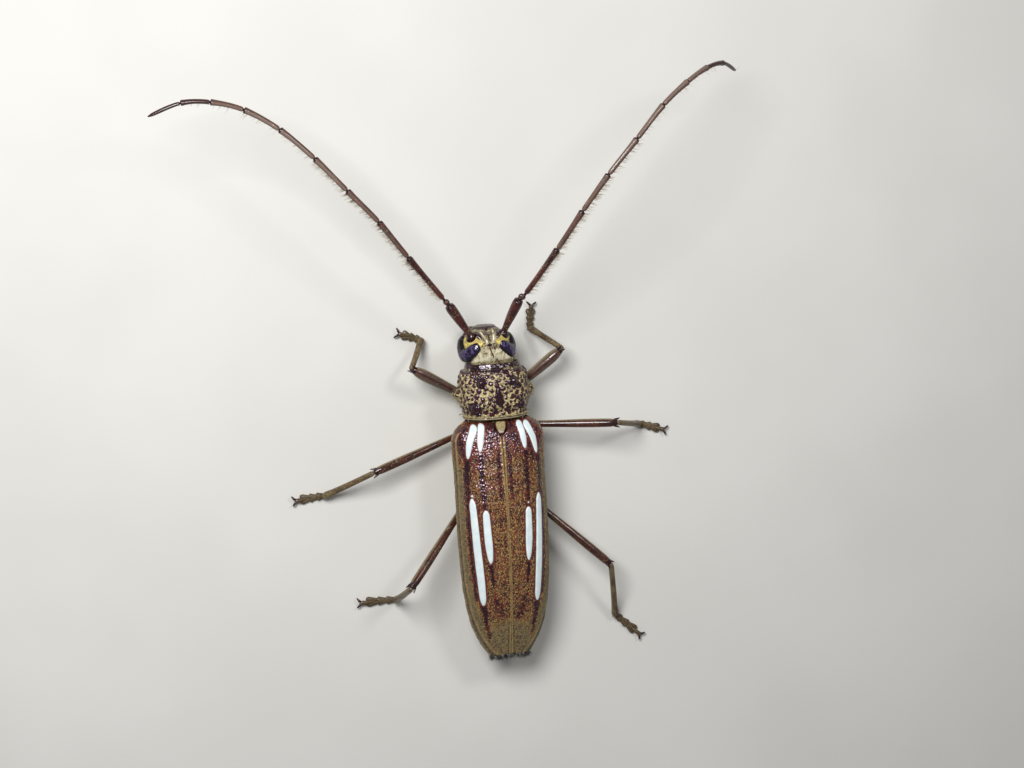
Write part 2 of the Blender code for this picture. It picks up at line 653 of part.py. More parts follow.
def tarsus(pair, side):
    """The foot: three flat-soled joints, then a claw joint that rises from them and two claws."""
    _, _, foot, ahead = leg(pair, side)
    length = TARSUS_LENGTHS[pair]
    across = Vector((-ahead.y, ahead.x, 0))
    start = Vector((foot.x, foot.y, 0)) - ahead * 0.15
    outline = ((-0.75, 0), (0.75, 0), (1, 0.35), (0.7, 0.85), (0, 1), (-0.7, 0.85), (-1, 0.35))
    rings = []
    for stop, _ in TARSUS_HALF:
        half = smooth(TARSUS_HALF, stop)
        tall = smooth(TARSUS_TALL, stop)
        middle = start + ahead * stop * length
        rings.append([middle + across * x * half + Vector((0, 0, z * tall)) for x, z in outline])
    sole = skin_over(f"tarsus_{pair}_{side}", rings)
    rise = Vector((0, 0, 0.27))
    claw_root = start + ahead * (length * 0.93) + Vector((0, 0, 0.42))
    claw_joint = tube("claw_joint", (start + ahead * length * 0.6 + rise, claw_root), (0.16, 0.21))
    forms = [claw_joint]
    for way in (1, -1):
        spread = across * way
        route = (claw_root - ahead * 0.1 + spread * 0.05, claw_root + ahead * 0.14 + spread * 0.26,
                 claw_root + ahead * 0.3 + spread * 0.42 - rise * 0.6)
        forms.append(tube("claw", route, (CLAW_RADIUS, CLAW_RADIUS, 0.04), rounding=1))
    fused(sole, forms)
    return cut_clear(sole, [grown("ankle_gap", *tibia_bar(pair, side), FINE_GAP)])


def body_cutters(pair):
    """What the trunk keeps clear of: this pair's coxae and the root half of its femora."""
    cutters = []
    for side in SIDES:
        cutters.append(coxa(pair, side, FINE_GAP))
        route, radii = femur_bar(pair, side)
        cutters.append(grown("thigh_gap", route[:5], radii[:5], FINE_GAP))
    return cutters


def coloured(piece, colour, roughness, metallic=0.0):
    material = bpy.data.materials.new(piece.name)
    material.use_nodes = True
    shader = material.node_tree.nodes["Principled BSDF"]
    shader.inputs["Base Color"].default_value = (*colour, 1)
    shader.inputs["Roughness"].default_value = roughness
    shader.inputs["Metallic"].default_value = metallic
    piece.data.materials.clear()
    piece.data.materials.append(material)
    piece.data.shade_smooth()
    piece.data.set_sharp_from_angle(angle=math.radians(40))
    return piece


MAHOGANY = ((0.09, 0.02, 0.012), 0.3)
KHAKI = ((0.3, 0.23, 0.1), 0.6)
EYE_BLACK = ((0.012, 0.006, 0.03), 0.15)
HORN_BLACK = ((0.02, 0.008, 0.006), 0.25)
UNDERSIDE = ((0.13, 0.07, 0.035), 0.5)
FEELER_BROWN = ((0.12, 0.045, 0.03), 0.4)

for old in list(bpy.data.objects):
    bpy.data.objects.remove(old)

parts = [coloured(head(), *KHAKI)]
for side in SIDES:
    parts.append(coloured(tube(f"eye_{side}", on_side(EYE_ROUTE, side), EYE_RADII), *EYE_BLACK))
    parts.append(coloured(tube(f"mandible_{side}", on_side(MANDIBLE_ROUTE, side), MANDIBLE_RADII), *HORN_BLACK))
    parts.append(coloured(tube(f"palp_{side}", on_side(PALP_ROUTE, side), PALP_RADII), *FEELER_BROWN))
parts.append(coloured(labrum(), *HORN_BLACK))
parts.append(coloured(cut_clear(prothorax(), body_cutters("front")), *KHAKI))
parts.append(coloured(scutellum_form("scutellum", 0, 0), *KHAKI))
trunk = cut_clear(pterothorax(), body_cutters("mid") + body_cutters("hind"))
parts.append(coloured(trunk, *UNDERSIDE))
parts.append(coloured(cut_clear(abdomen(), body_cutters("hind")), *UNDERSIDE))
for side in SIDES:
    parts.append(coloured(elytron(side), *MAHOGANY))
    for pair in COXAE:
        parts.append(coloured(coxa(pair, side), *MAHOGANY))
        parts.append(coloured(femur(pair, side), *MAHOGANY))
        parts.append(coloured(tibia(pair, side), *FEELER_BROWN))
        parts.append(coloured(tarsus(pair, side), *FEELER_BROWN))
parts += [coloured(piece, *FEELER_BROWN) for piece in feelers()]

# The beetle's pieces go in one collection, under an empty that sets the middle of the footprint on the origin
beetle = bpy.data.collections.new("longhorn_beetle")
bpy.context.scene.collection.children.link(beetle)
corners = [vert.co for part in parts for vert in part.data.vertices]
middle_x = (min(co.x for co in corners) + max(co.x for co in corners)) / 2
middle_y = (min(co.y for co in corners) + max(co.y for co in corners)) / 2
stand = bpy.data.objects.new("longhorn_beetle", None)
stand.location = (-middle_x, -middle_y, 0)
beetle.objects.link(stand)
for part in parts:
    bpy.context.scene.collection.objects.unlink(part)
    beetle.objects.link(part)
    part.parent = stand
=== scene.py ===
"""The longhorn beetle Susuacanga hatsueae, life size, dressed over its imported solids.

Sizes are in millimetres from the floor under the front end of the suture, the line where the two wing
cases meet. The beetle faces -Y and its left side is +X.
"""

import json
import math

import bmesh
import bpy
import numpy as np
from mathutils import Euler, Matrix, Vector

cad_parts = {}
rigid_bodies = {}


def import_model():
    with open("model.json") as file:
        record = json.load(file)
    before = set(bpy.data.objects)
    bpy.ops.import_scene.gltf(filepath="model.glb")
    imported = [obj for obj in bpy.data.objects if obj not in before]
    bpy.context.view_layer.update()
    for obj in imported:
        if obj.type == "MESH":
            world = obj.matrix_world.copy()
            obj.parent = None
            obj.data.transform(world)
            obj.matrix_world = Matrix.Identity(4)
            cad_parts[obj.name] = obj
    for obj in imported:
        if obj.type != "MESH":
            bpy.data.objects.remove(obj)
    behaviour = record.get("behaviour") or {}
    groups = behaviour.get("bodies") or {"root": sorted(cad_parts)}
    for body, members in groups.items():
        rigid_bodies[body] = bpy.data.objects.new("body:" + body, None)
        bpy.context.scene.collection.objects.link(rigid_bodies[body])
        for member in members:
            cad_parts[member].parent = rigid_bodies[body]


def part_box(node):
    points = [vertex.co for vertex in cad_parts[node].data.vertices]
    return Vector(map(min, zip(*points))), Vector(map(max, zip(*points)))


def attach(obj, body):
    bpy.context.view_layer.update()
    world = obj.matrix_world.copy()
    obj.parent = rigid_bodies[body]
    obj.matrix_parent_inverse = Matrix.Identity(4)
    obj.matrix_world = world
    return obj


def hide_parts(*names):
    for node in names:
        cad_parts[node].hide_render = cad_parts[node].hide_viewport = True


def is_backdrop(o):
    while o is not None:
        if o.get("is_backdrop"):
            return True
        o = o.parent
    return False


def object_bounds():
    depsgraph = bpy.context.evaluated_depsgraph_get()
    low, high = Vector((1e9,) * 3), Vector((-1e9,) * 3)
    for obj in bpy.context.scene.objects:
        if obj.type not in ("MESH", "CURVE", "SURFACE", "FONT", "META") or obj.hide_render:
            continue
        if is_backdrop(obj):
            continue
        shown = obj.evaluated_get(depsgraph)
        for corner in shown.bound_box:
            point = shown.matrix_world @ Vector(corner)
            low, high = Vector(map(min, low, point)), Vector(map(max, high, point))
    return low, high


for old in list(bpy.data.objects):
    bpy.data.objects.remove(old)
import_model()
solid_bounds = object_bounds()

# The trunk: the hard plates of the middle thorax and of the belly, dark brown under short tan down.
# Each belly plate laps over the next, and the whole hangs under the wing cases. One skin runs from the
# waist inside the neck shield to the tail.
MM = 0.001
MERGE = 2e-8
WAVES = 7
DOME_ROWS = 6
shield_low, shield_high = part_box("scutellum")
SUTURE_FRONT = np.array(((shield_low.x + shield_high.x) / 2, shield_low.y, 0.0))
CASE_HALF = ((-0.1, 2.75), (0.2, 3.35), (0.7, 3.82), (1.6, 4.12), (5.0, 4.05), (9.0, 4.07), (13.8, 3.97),
             (16.4, 3.72), (18.4, 3.31), (19.6, 2.86), (20.6, 2.28), (21.4, 1.66))
CASE_CREST = ((-0.1, 6.3), (0.9, 6.9), (3.5, 7.25), (8.0, 7.5), (12.0, 7.3), (15.8, 6.65), (18.5, 5.85),
              (21.4, 4.9))
CASE_RIM = ((-0.1, 4.75), (1.6, 4.5), (8.0, 4.35), (13.8, 4.2), (17.0, 4.1), (21.4, 3.95))
BELLY_LOW = ((-0.9, 2.7), (0.0, 2.2), (2.0, 1.95), (5.0, 1.85), (8.0, 1.9), (14.0, 2.05), (18.0, 2.5),
             (20.9, 3.3))
WAIST = ((-0.9, 0.72), (0.0, 0.93), (0.5, 1.0))
TRUNK_ENDS = (-0.9, 20.9)
PLATE_ENDS = (8.1, 10.9, 13.4, 15.8, 18.1)


def smooth(stops, at):
    """Sizes read from a smooth curve through a few (place, size) stops, with no overshoot."""
    places, sizes = np.array(stops, float).T
    at = np.clip(np.asarray(at, float), places[0], places[-1])
    spans = np.diff(places)
    slopes = np.diff(sizes) / spans
    before, after = slopes[:-1], slopes[1:]
    level = before * after <= 0
    inner = np.where(level, 0, 2 * before * after / np.where(level, 1, before + after))
    tangents = np.concatenate([slopes[:1], inner, slopes[-1:]])
    i = np.clip(np.searchsorted(places, at, side="right") - 1, 0, len(spans) - 1)
    t = (at - places[i]) / spans[i]
    near = (2 * t**3 - 3 * t**2 + 1) * sizes[i] + (t**3 - 2 * t**2 + t) * spans[i] * tangents[i]
    far = (3 * t**2 - 2 * t**3) * sizes[i + 1] + (t**3 - t**2) * spans[i] * tangents[i + 1]
    return near + far


def eased(value, low, high):
    """From 0 at low to 1 at high, with soft ends."""
    t = np.clip((value - low) / (high - low), 0, 1)
    return t * t * (3 - 2 * t)


def bell(value, width):
    """From 1 at zero down to nothing on both sides."""
    return np.exp(-((value / width) ** 2))


def whole_turn(sides):
    """The turns all the way round, the first and the last at the same place."""
    return np.linspace(0, 2 * math.pi, sides + 1)


def arch(y, turn, half, top, low, widest, crown=2.2, belly=2.0):
    """Points round a body form, by the turn from straight up: fuller above its widest level than below."""
    across, up = np.sin(turn), np.cos(turn)
    power = np.where(up > 0, 2 / crown, 2 / belly)
    reach = np.where(up > 0, top - widest, widest - low)
    x = half * np.sign(across) * np.abs(across) ** power
    z = widest + reach * np.sign(up) * np.abs(up) ** power
    return np.stack(np.broadcast_arrays(x, y, z), axis=-1)


def ended(rings, first, last):
    """The rings with more drawn in at each end, as pairs of a share of the end ring and a step outwards."""

    def end(ring, inner, pairs):
        middle = ring[:-1].mean(axis=0)
        out = middle - inner[:-1].mean(axis=0)
        out /= np.linalg.norm(out)
        return np.array([middle + (ring - middle) * share + out * step for share, step in pairs])

    return np.concatenate([end(rings[0], rings[1], first)[::-1], rings, end(rings[-1], rings[-2], last)])


def dome(depth, count=DOME_ROWS):
    return [(math.cos(t), depth * math.sin(t)) for t in np.linspace(0, math.pi / 2, count + 1)[1:]]


def padded(values):
    """Readings along a form, with those for the rows of its domed ends."""
    return np.concatenate([[values[0]] * DOME_ROWS, values, [values[-1]] * DOME_ROWS])


def unit(ways):
    return ways / np.maximum(np.linalg.norm(ways, axis=-1, keepdims=True), 1e-12)


def outward(places, ring=True):
    """The direction that points out of a surface at each of its points."""
    wide = np.concatenate([places[:, -2:-1], places, places[:, 1:2]], axis=1) if ring else places
    facing = np.cross(np.gradient(wide, axis=1), np.gradient(wide, axis=0))
    if not ring:
        return unit(facing)
    facing = facing[:, 1:-1]
    middle = places[:, :-1].mean(axis=1, keepdims=True)
    inward = (facing * (places - middle)).sum(axis=-1).sum(axis=-1) < 0
    return unit(np.where(inward[:, None, None], -facing, facing))


def ripples(places, length, seed):
    """Soft random waves through space, about this long, between -1 and 1."""
    chance = np.random.default_rng(seed)
    total = 0
    for _ in range(WAVES):
        way = chance.normal(size=3)
        way *= 2 * math.pi / length / np.linalg.norm(way)
        total = total + np.sin(places @ way + chance.uniform(0, 2 * math.pi))
    return total / 4


def placed(name, data):
    """One more object in the scene."""
    made = bpy.data.objects.new(name, data)
    bpy.context.scene.collection.objects.link(made)
    return made


def laid(name, *sheets, **readings):
    """Skins laid over rows of places, with readings kept at their points: closed where their edges meet."""
    shape = bmesh.new()
    shape.loops.layers.uv.new("lie")
    for sheet in sheets:
        rows, columns = sheet.shape[:2]
        bmesh.ops.create_grid(shape, x_segments=columns - 1, y_segments=rows - 1, size=0.5, calc_uvs=True)
    mesh = bpy.data.meshes.new(name)
    shape.to_mesh(mesh)
    shape.free()
    places = np.concatenate([sheet.reshape(-1, 3) for sheet in sheets])
    mesh.vertices.foreach_set("co", (places * MM + SUTURE_FRONT).ravel())
    for reading, values in readings.items():
        values = values if isinstance(values, list) else [values] * len(sheets)
        flat = [np.broadcast_to(value, sheet.shape[:2]).ravel() for value, sheet in zip(values, sheets)]
        layer = mesh.attributes.new(reading, "FLOAT", "POINT")
        layer.data.foreach_set("value", np.concatenate(flat).astype(np.float32))
    shape = bmesh.new()
    shape.from_mesh(mesh)
    bmesh.ops.remove_doubles(shape, verts=shape.verts, dist=MERGE)
    bmesh.ops.recalc_face_normals(shape, faces=shape.faces)
    open_edge = any(edge.is_boundary for edge in shape.edges)
    if open_edge and sum(face.normal.z for face in shape.faces) < 0:
        bmesh.ops.reverse_faces(shape, faces=shape.faces)
    shape.to_mesh(mesh)
    shape.free()
    mesh.shade_smooth()
    return placed(name, mesh)


def fitted(piece, finish, slot, *solids):
    """Gives a piece its finish and lets it stand for these solids. The slot is not used."""
    piece.data.materials.append(finish)
    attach(piece, "root")
    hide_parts(*solids)


def started(name):
    """A new finish: its material, node tree and shader, and the places that its patterns are read at."""
    made = bpy.data.materials.new(name)
    made.use_nodes = True
    tree = made.node_tree
    return made, tree, tree.nodes["Principled BSDF"], stretched(tree)


def fed(node, sockets):
    """Gives each socket of a node a number or a colour, or another node's output to read."""
    for socket, value in sockets.items():
        if isinstance(value, bpy.types.NodeSocket):
            node.id_data.links.new(value, node.inputs[socket])
        else:
            node.inputs[socket].default_value = value
    return node


def added(tree, kind, sockets, **settings):
    """One more node."""
    made = tree.nodes.new("ShaderNode" + kind)
    for setting, value in settings.items():
        setattr(made, setting, value)
    return fed(made, sockets)


def mixed(share, first, second):
    """A colour between two, by a share."""
    colours = [(*value, 1) if isinstance(value, tuple) else value for value in (first, second)]
    return added(share.id_data, "Mix", {0: share, 6: colours[0], 7: colours[1]}, data_type="RGBA").outputs[2]


def sums(operation, *values):
    tree = next(value.id_data for value in values if isinstance(value, bpy.types.NodeSocket))
    return added(tree, "Math", dict(enumerate(values)), operation=operation).outputs[0]


def times(*values):
    return sums("MULTIPLY", *values)


def plus(*values):
    return sums("ADD", *values)


def less(*values):
    return sums("SUBTRACT", *values)


def most(*values):
    return sums("MAXIMUM", *values)


def graded(value, low, high, start=0.0, end=1.0):
    """A number that goes from start to end while the value goes from low to high."""
    sockets = {0: value, 1: low, 2: high, 3: start, 4: end}
    return added(value.id_data, "MapRange", sockets, interpolation_type="SMOOTHSTEP").outputs[0]


def reading(tree, name):
    return added(tree, "Attribute", {}, attribute_name=name).outputs["Fac"]


def stretched(tree, x=1.0, y=1.0, z=1.0):
    place = added(tree, "TexCoord", {}).outputs["Object"]
    return added(tree, "Mapping", {0: place, 3: (x, y, z)}).outputs[0]


def mottle(place, scale, detail=2.0):
    return added(place.id_data, "TexNoise", {"Vector": place, "Scale": scale, "Detail": detail}).outputs[0]


def clouded(place, scale, low, high, first, second, detail=2.0):
    """A colour that drifts between two in soft clouds."""
    return mixed(graded(mottle(place, scale, detail), low, high), first, second)


def cells(place, scale, output="Distance"):
    return added(place.id_data, "TexVoronoi", {"Vector": place, "Scale": scale}).outputs[output]


def raised(height, depth, under=None):
    """A bump this deep in metres."""
    sockets = {"Height": height, "Distance": depth, "Strength": 1.0}
    if under is not None:
        sockets["Normal"] = under
    return added(height.id_data, "Bump", sockets).outputs[0]


def downy(name, dark, light, down, cover, gloss, bare=None, fade=None, thick=None, rough=1.2e-5):
    """Pitted cuticle of two browns under short down: none where it is bare, all over where it is thick."""
    finish, tree, shader, place = started(name)
    cuticle = clouded(place, 900.0, 0.35, 0.65, dark, light)
    # A second colour by the fade reading: a plain tint on the palps, shins and feet, and on the feelers and front
    # thighs partly painted sheen in streaks along their ridges.
    if fade:
        cuticle = mixed(reading(tree, "fade"), cuticle, fade)
        down = mixed(reading(tree, "fade"), down, tuple(1.5 * part for part in fade))
    nap = mottle(place, 9000.0, 3.0)
    patch = times(mottle(place, 700.0), 0.5)
    lying = graded(plus(nap, patch), 0.93 - cover * 0.5, 1.15 - cover * 0.5)
    if thick:
        dense = times(reading(tree, thick), graded(nap, 0.35, 0.55, 0.3, 1.0))
        lying = most(lying, dense)
    if bare:
        stripped = graded(reading(tree, bare), 0.1, 0.6)
        cuticle = mixed(stripped, cuticle, (0.022, 0.006, 0.007))
        lying = times(lying, less(1.0, stripped))
    fed(shader, {
        "Base Color": mixed(lying, cuticle, down),
        "Roughness": graded(lying, 0.0, 1.0, gloss, 0.65),
        "Normal": raised(nap, rough, raised(cells(place, 4200.0), rough)),
    })
    return finish


trunk_y = np.linspace(*TRUNK_ENDS, 330)[:, None]
trunk_turn = whole_turn(160)[None, :]
case_half = np.minimum(smooth(CASE_HALF, trunk_y), smooth(CASE_HALF, trunk_y - 0.4))
trunk_half = (case_half - 0.15 - 0.25 * np.clip((trunk_y - 8) / 12.9, 0, 1)) * smooth(WAIST, trunk_y)
trunk_top = np.minimum(smooth(CASE_RIM, trunk_y) + 1.2, smooth(CASE_CREST, trunk_y) - 0.75)
trunk_widest = smooth(CASE_RIM, trunk_y) - 0.45
trunk = arch(trunk_y, trunk_turn, trunk_half, trunk_top, smooth(BELLY_LOW, trunk_y), trunk_widest)
seams = np.zeros_like(trunk[..., 0])
relief = np.zeros_like(seams)
for end in PLATE_ENDS:
    past = trunk_y - end
    seams += bell(past, 0.09)
    relief += 0.05 * bell(past + 0.16, 0.14) - 0.08 * bell(past, 0.07)
side_line = bell(np.abs(trunk_turn - math.pi) - 0.98, 0.025) * (trunk_y > 0.6) * (trunk_y < 8)
middle_line = bell(trunk_turn - math.pi, 0.03) * (trunk_y > 1.75) * (trunk_y < 5.45)
breast_line = bell(np.abs(trunk_y - 3.6) - 1.85, 0.06) * (np.abs(trunk_turn - math.pi) < 1.0)
relief -= 0.05 * side_line + 0.04 * middle_line + 0.05 * breast_line
seams += 0.5 * side_line + 0.6 * middle_line + 0.6 * breast_line
relief += 0.02 * ripples(trunk, 1.1, 3)
trunk = trunk + outward(trunk) * relief[..., None]
trunk = ended(trunk, dome(0.2), dome(0.12))
seams = padded(seams)
TRUNK_BROWN = downy(
    "trunk cuticle", (0.035, 0.013, 0.008), (0.08, 0.03, 0.015), (0.24, 0.185, 0.09), 0.75, 0.35, bare="seam"
)
fitted(laid("trunk", trunk, seam=seams), TRUNK_BROWN, "underside", "pterothorax", "abdomen")

# The neck shield: one barrel of dark cuticle behind the head, crowded with round glossy beads between which
# khaki down lies in a net. It has a bare shining collar in front, a keel and bare bosses on its back and a
# blunt knob on each side, and the front legs are hinged under it.
SHIELD_HALF = ((-5.1, 2.4), (-4.75, 2.52), (-4.5, 2.8), (-4.0, 3.02), (-2.5, 3.1), (-1.4, 2.98), (-0.85, 2.8),
               (-0.35, 2.85))
SHIELD_TOP = ((-5.1, 6.1), (-4.7, 6.25), (-4.4, 6.4), (-3.2, 6.75), (-1.6, 6.75), (-0.85, 6.4), (-0.35, 6.5))
SHIELD_LOW = ((-5.1, 2.7), (-4.0, 2.35), (-1.7, 2.2), (-0.35, 2.3))
SHIELD_WIDEST = 4.2
SHIELD_ENDS = (-5.1, -0.35)
KNOB = np.array((3.1, -2.5, 4.3))
BOSSES = ((1.42, -3.6, 0.26, 0.36), (-1.42, -3.6, 0.26, 0.36),
          (2.0, -1.3, 0.16, 0.46), (-2.1, -1.45, 0.14, 0.36))
KEEL = ((-3.0, 0.05), (-2.5, 0.13), (-1.9, 0.19), (-1.55, 0.06))
BEAD_RADII = (0.12, 0.24)
BEAD_GAP = 0.045
BEAD_TRIES = 16000
BEAD_RISE = 0.42
BEYOND = -0.3
CUTICLE_IOR = 1.62


def shield_at(y, turn):
    sizes = [smooth(stops, y) for stops in (SHIELD_HALF, SHIELD_TOP, SHIELD_LOW)]
    return arch(y, turn, *sizes, SHIELD_WIDEST)


def turn_at(x, y):
    """The turn from straight up at which the shield's top lies this far to the side."""
    return np.sign(x) * np.arcsin(np.clip(np.abs(x) / smooth(SHIELD_HALF, y), 0, 1) ** 1.1)


shield_y = np.linspace(*SHIELD_ENDS, 140)[:, None]
shield_turn = whole_turn(480)[None, :]
shield = ended(
    shield_at(shield_y, shield_turn),
    [(0.99, 0.04), (0.965, 0.05), (0.94, 0.02), (0.92, -0.1), (0.9, -0.5), (0.0, -0.5)],
    [(0.99, 0.03), (0.97, 0.04), (0.94, 0.0), (0.92, -0.1), (0.9, -0.3), (0.0, -0.3)],
)
facing = outward(shield)
chance = np.random.default_rng(8)
boss_places = np.array([shield_at(y, turn_at(x, y)) for x, y, _, _ in BOSSES])
boss_spreads = np.array([spread for _, _, _, spread in BOSSES])
keel_y = np.linspace(KEEL[0][0], KEEL[-1][0], 24)
keel_places = shield_at(keel_y, turn_at(0.06 * np.sin(4 * keel_y), keel_y))
keel_halves = smooth(KEEL, keel_y)
spot_y = chance.uniform(-4.56, -0.74, BEAD_TRIES)
spots = shield_at(spot_y, chance.uniform(-1.9, 1.9, BEAD_TRIES))
spot_radii = chance.uniform(*BEAD_RADII, BEAD_TRIES)
beads, bead_radii = np.zeros((0, 3)), np.zeros(0)
for spot, radius in zip(spots, spot_radii):
    room = np.concatenate([
        np.linalg.norm(beads - spot, axis=1) - bead_radii,
        np.linalg.norm(boss_places - spot, axis=1) - boss_spreads,
        np.linalg.norm(keel_places - spot, axis=1) - keel_halves,
    ])
    if room.min() > radius + BEAD_GAP:
        beads = np.vstack([beads, spot])
        bead_radii = np.append(bead_radii, radius)
inside_bead = np.full(shield.shape[:2], BEYOND)
relief = np.zeros(shield.shape[:2])
for bead, radius in zip(beads, bead_radii):
    away = np.linalg.norm(shield - bead, axis=-1)
    inside_bead = np.maximum(inside_bead, radius - away)
    relief = np.maximum(relief, BEAD_RISE * radius * np.sqrt(np.clip(1 - (away / radius) ** 2, 0, 1)))
inside_boss = np.full(shield.shape[:2], BEYOND)
for (_, _, rise, spread), place in zip(BOSSES, boss_places):
    away = np.linalg.norm(shield - place, axis=-1)
    relief = relief + rise * bell(away / spread, 0.85)
    inside_boss = np.maximum(inside_boss, spread - away)
for place, half in zip(keel_places, keel_halves):
    inside_boss = np.maximum(inside_boss, half - np.linalg.norm(shield - place, axis=-1))
relief = relief + 0.12 * eased(inside_boss, -0.05, 0.15)
for sign in (1, -1):
    away = np.linalg.norm(shield - KNOB * (sign, 1, 1), axis=-1)
    relief = relief + 0.5 * bell(away, 0.5)
level = shield[..., 1]
uneven = 0.06 * ripples(shield, 0.7, 14)
collar = 1 - eased(level + uneven, -4.88, -4.76)
hem = eased(level, -0.56, -0.46)
banded = np.clip(collar + hem, 0, 1)
relief = relief * (1 - banded)
relief -= 0.06 * bell(level + 4.7, 0.08) + 0.06 * bell(level + 0.6, 0.07)
relief += 0.03 * ripples(shield, 0.9, 4) + 0.012 * collar * ripples(shield, 0.25, 5)
skin_of_shield = shield + facing * relief[..., None]
thin = 0.85 * (1 - eased(level + 2 * uneven, -4.6, -4.1)) + 0.7 * eased(ripples(shield, 1.0, 12), 0.35, 0.8)
thin = np.clip(thin + eased(inside_boss, BEYOND, -0.04), 0, 1)
hem = hem + 0.1 * eased(level, -0.42, -0.36)

finish, tree, shader, place = started("neck shield")
bead = reading(tree, "bead")
worn = graded(mottle(place, 1700.0, 3.0), 0.36, 0.5, 1, 0.2)
collared = times(reading(tree, "collar"), worn)
wavy = graded(mottle(place, 2200.0), 0.3, 0.7, -0.14, 0.06)
bare = most(graded(plus(reading(tree, "boss"), wavy), -0.05, 0.0), collared)
nap = mottle(place, 9000.0, 3.0)
ragged = plus(bead, graded(mottle(place, 5000.0, 3.0), 0.3, 0.7, -0.06, 0.05))
net = graded(ragged, -0.04, -0.01, 1.0, 0.0)
spread = less(graded(mottle(place, 2500.0), 0.3, 0.7, 0.1, 1.1), reading(tree, "thin"))
net = times(net, graded(spread, -0.05, 0.35))
net = times(net, less(1.0, bare))
cuticle = mixed(graded(bead, -0.02, 0.12), (0.013, 0.004, 0.006), (0.055, 0.007, 0.014))
cuticle = mixed(bare, cuticle, (0.022, 0.005, 0.008))
khaki = clouded(place, 5500.0, 0.38, 0.62, (0.16, 0.12, 0.045), (0.62, 0.53, 0.27), 4.0)
colour = mixed(net, cuticle, khaki)
brown = clouded(place, 3000.0, 0.4, 0.6, (0.03, 0.014, 0.009), (0.16, 0.125, 0.055), 3.0)
brown = mixed(graded(reading(tree, "hem"), 1.0, 1.06), brown, (0.27, 0.22, 0.11))
colour = mixed(graded(reading(tree, "hem"), 0.3, 0.8), colour, brown)
fed(shader, {
    "Base Color": colour,
    "Roughness": most(graded(net, 0.0, 1.0, 0.17, 0.7), times(collared, 0.28)),
    "IOR": CUTICLE_IOR,
    "Specular Tint": (1.0, 0.9, 1.0, 1),
    "Normal": raised(nap, 1.2e-5),
})
readings = {"bead": inside_bead, "boss": inside_boss, "collar": collar, "thin": thin, "hem": hem}
fitted(laid("neck_shield", skin_of_shield, **readings), finish, "body_hair", "prothorax")

# The little shield between the roots of the wing cases: a flat blunt plate, tan down on a dark rim, with a painted
# grey-white highlight towards its hind end.
# It is let into a shallow seat in both wing cases and lies level with them.
PLATE_HALF = ((-0.1, 0.44), (0.0, 0.5), (0.35, 0.47), (0.75, 0.3), (0.98, 0.12))
PLATE_SPAN = (-0.1, 0.98)


def swept(route, across, tall, sides, lift=(0.0, 0.0, 1.0), power=2.0):
    """Rings round a route, with their half widths across it and upwards: squarer as the power grows."""
    route = np.asarray(route, float)
    ahead = unit(np.gradient(route, axis=0))
    beside = unit(np.cross(ahead, lift))
    above = np.cross(beside, ahead)
    turn = whole_turn(sides)
    out = np.sign(np.cos(turn)) * np.abs(np.cos(turn)) ** (2 / power)
    up = np.sign(np.sin(turn)) * np.abs(np.sin(turn)) ** (2 / power)
    across = np.broadcast_to(across, len(route))[:, None, None]
    tall = np.broadcast_to(tall, len(route))[:, None, None]
    return route[:, None] + beside[:, None] * across * out[:, None] + above[:, None] * tall * up[:, None]


plate_y = np.linspace(*PLATE_SPAN, 40)
plate_route = np.stack([0 * plate_y, plate_y, np.interp(plate_y, (0, 1), (6.52, 6.72))], axis=1)
plate = swept(plate_route, smooth(PLATE_HALF, plate_y), 0.2, 72, power=3.2)
plate = ended(plate, dome(0.03), dome(0.08))
rim = smooth(PLATE_HALF, np.clip(plate[..., 1], *PLATE_SPAN)) - np.abs(plate[..., 0])
rim = np.minimum(rim, 0.9 - plate[..., 1])
finish, tree, shader, place = started("little shield")
nap = mottle(place, 12000.0, 3.0)
tan = mixed(graded(nap, 0.35, 0.65), (0.17, 0.125, 0.05), (0.38, 0.3, 0.135))
# The tip reading paints a grey-white highlight over the tan down.
tan = mixed(reading(tree, "tip"), tan, (0.38, 0.36, 0.29))
down = graded(reading(tree, "rim"), 0.06, 0.12)
fed(shader, {
    "Base Color": mixed(down, (0.05, 0.014, 0.01), tan),
    "Roughness": graded(down, 0.0, 1.0, 0.22, 0.7),
    "Normal": raised(nap, 1.5e-5),
})
# Painted highlight: grey-white towards the hind end, reaching a little further forward on the left.
tip = 0.9 * eased(plate[..., 1] + 0.3 * plate[..., 0], 0.58, 0.72)
fitted(laid("little_shield", plate, rim=rim, tip=tip), finish, "body_hair", "scutellum")

# The wing cases: two hard shells of pitted mahogany cuticle that meet at the suture and fold under at
# their sides. Each has four raised ivory stripes with a rust-red edge, dark bare lines between them, a
# pale bead along the suture, olive down that thickens to the sides and the tail, and a cut-off end.
SEAM = 0.005
FOLD = 0.24
FOLD_SHARE = 0.18
FOLD_TURN = 1.9
ROUNDING = 2 / 2.4
CASE_COLUMNS = 99
TOP_COLUMNS = 85
STRIPES = (
    ((1.66, 0.12), (1.87, 1.1), (2.0, 2.3), ((0, 0.2), (0.1, 0.29), (0.6, 0.28), (0.85, 0.2), (1, 0.08))),
    ((2.29, 0.2), (2.81, 1.5), (3.06, 2.87), ((0, 0.2), (0.1, 0.32), (0.5, 0.3), (0.8, 0.22), (1, 0.09))),
    ((1.9, 7.6), (1.84, 9.8), (1.7, 12.26), ((0, 0.14), (0.12, 0.3), (0.6, 0.34), (0.85, 0.25), (1, 0.08))),
    ((2.97, 6.5), (2.77, 11.2), (2.43, 16.16), ((0, 0.12), (0.1, 0.32), (0.6, 0.37), (0.9, 0.3), (1, 0.13))),
)
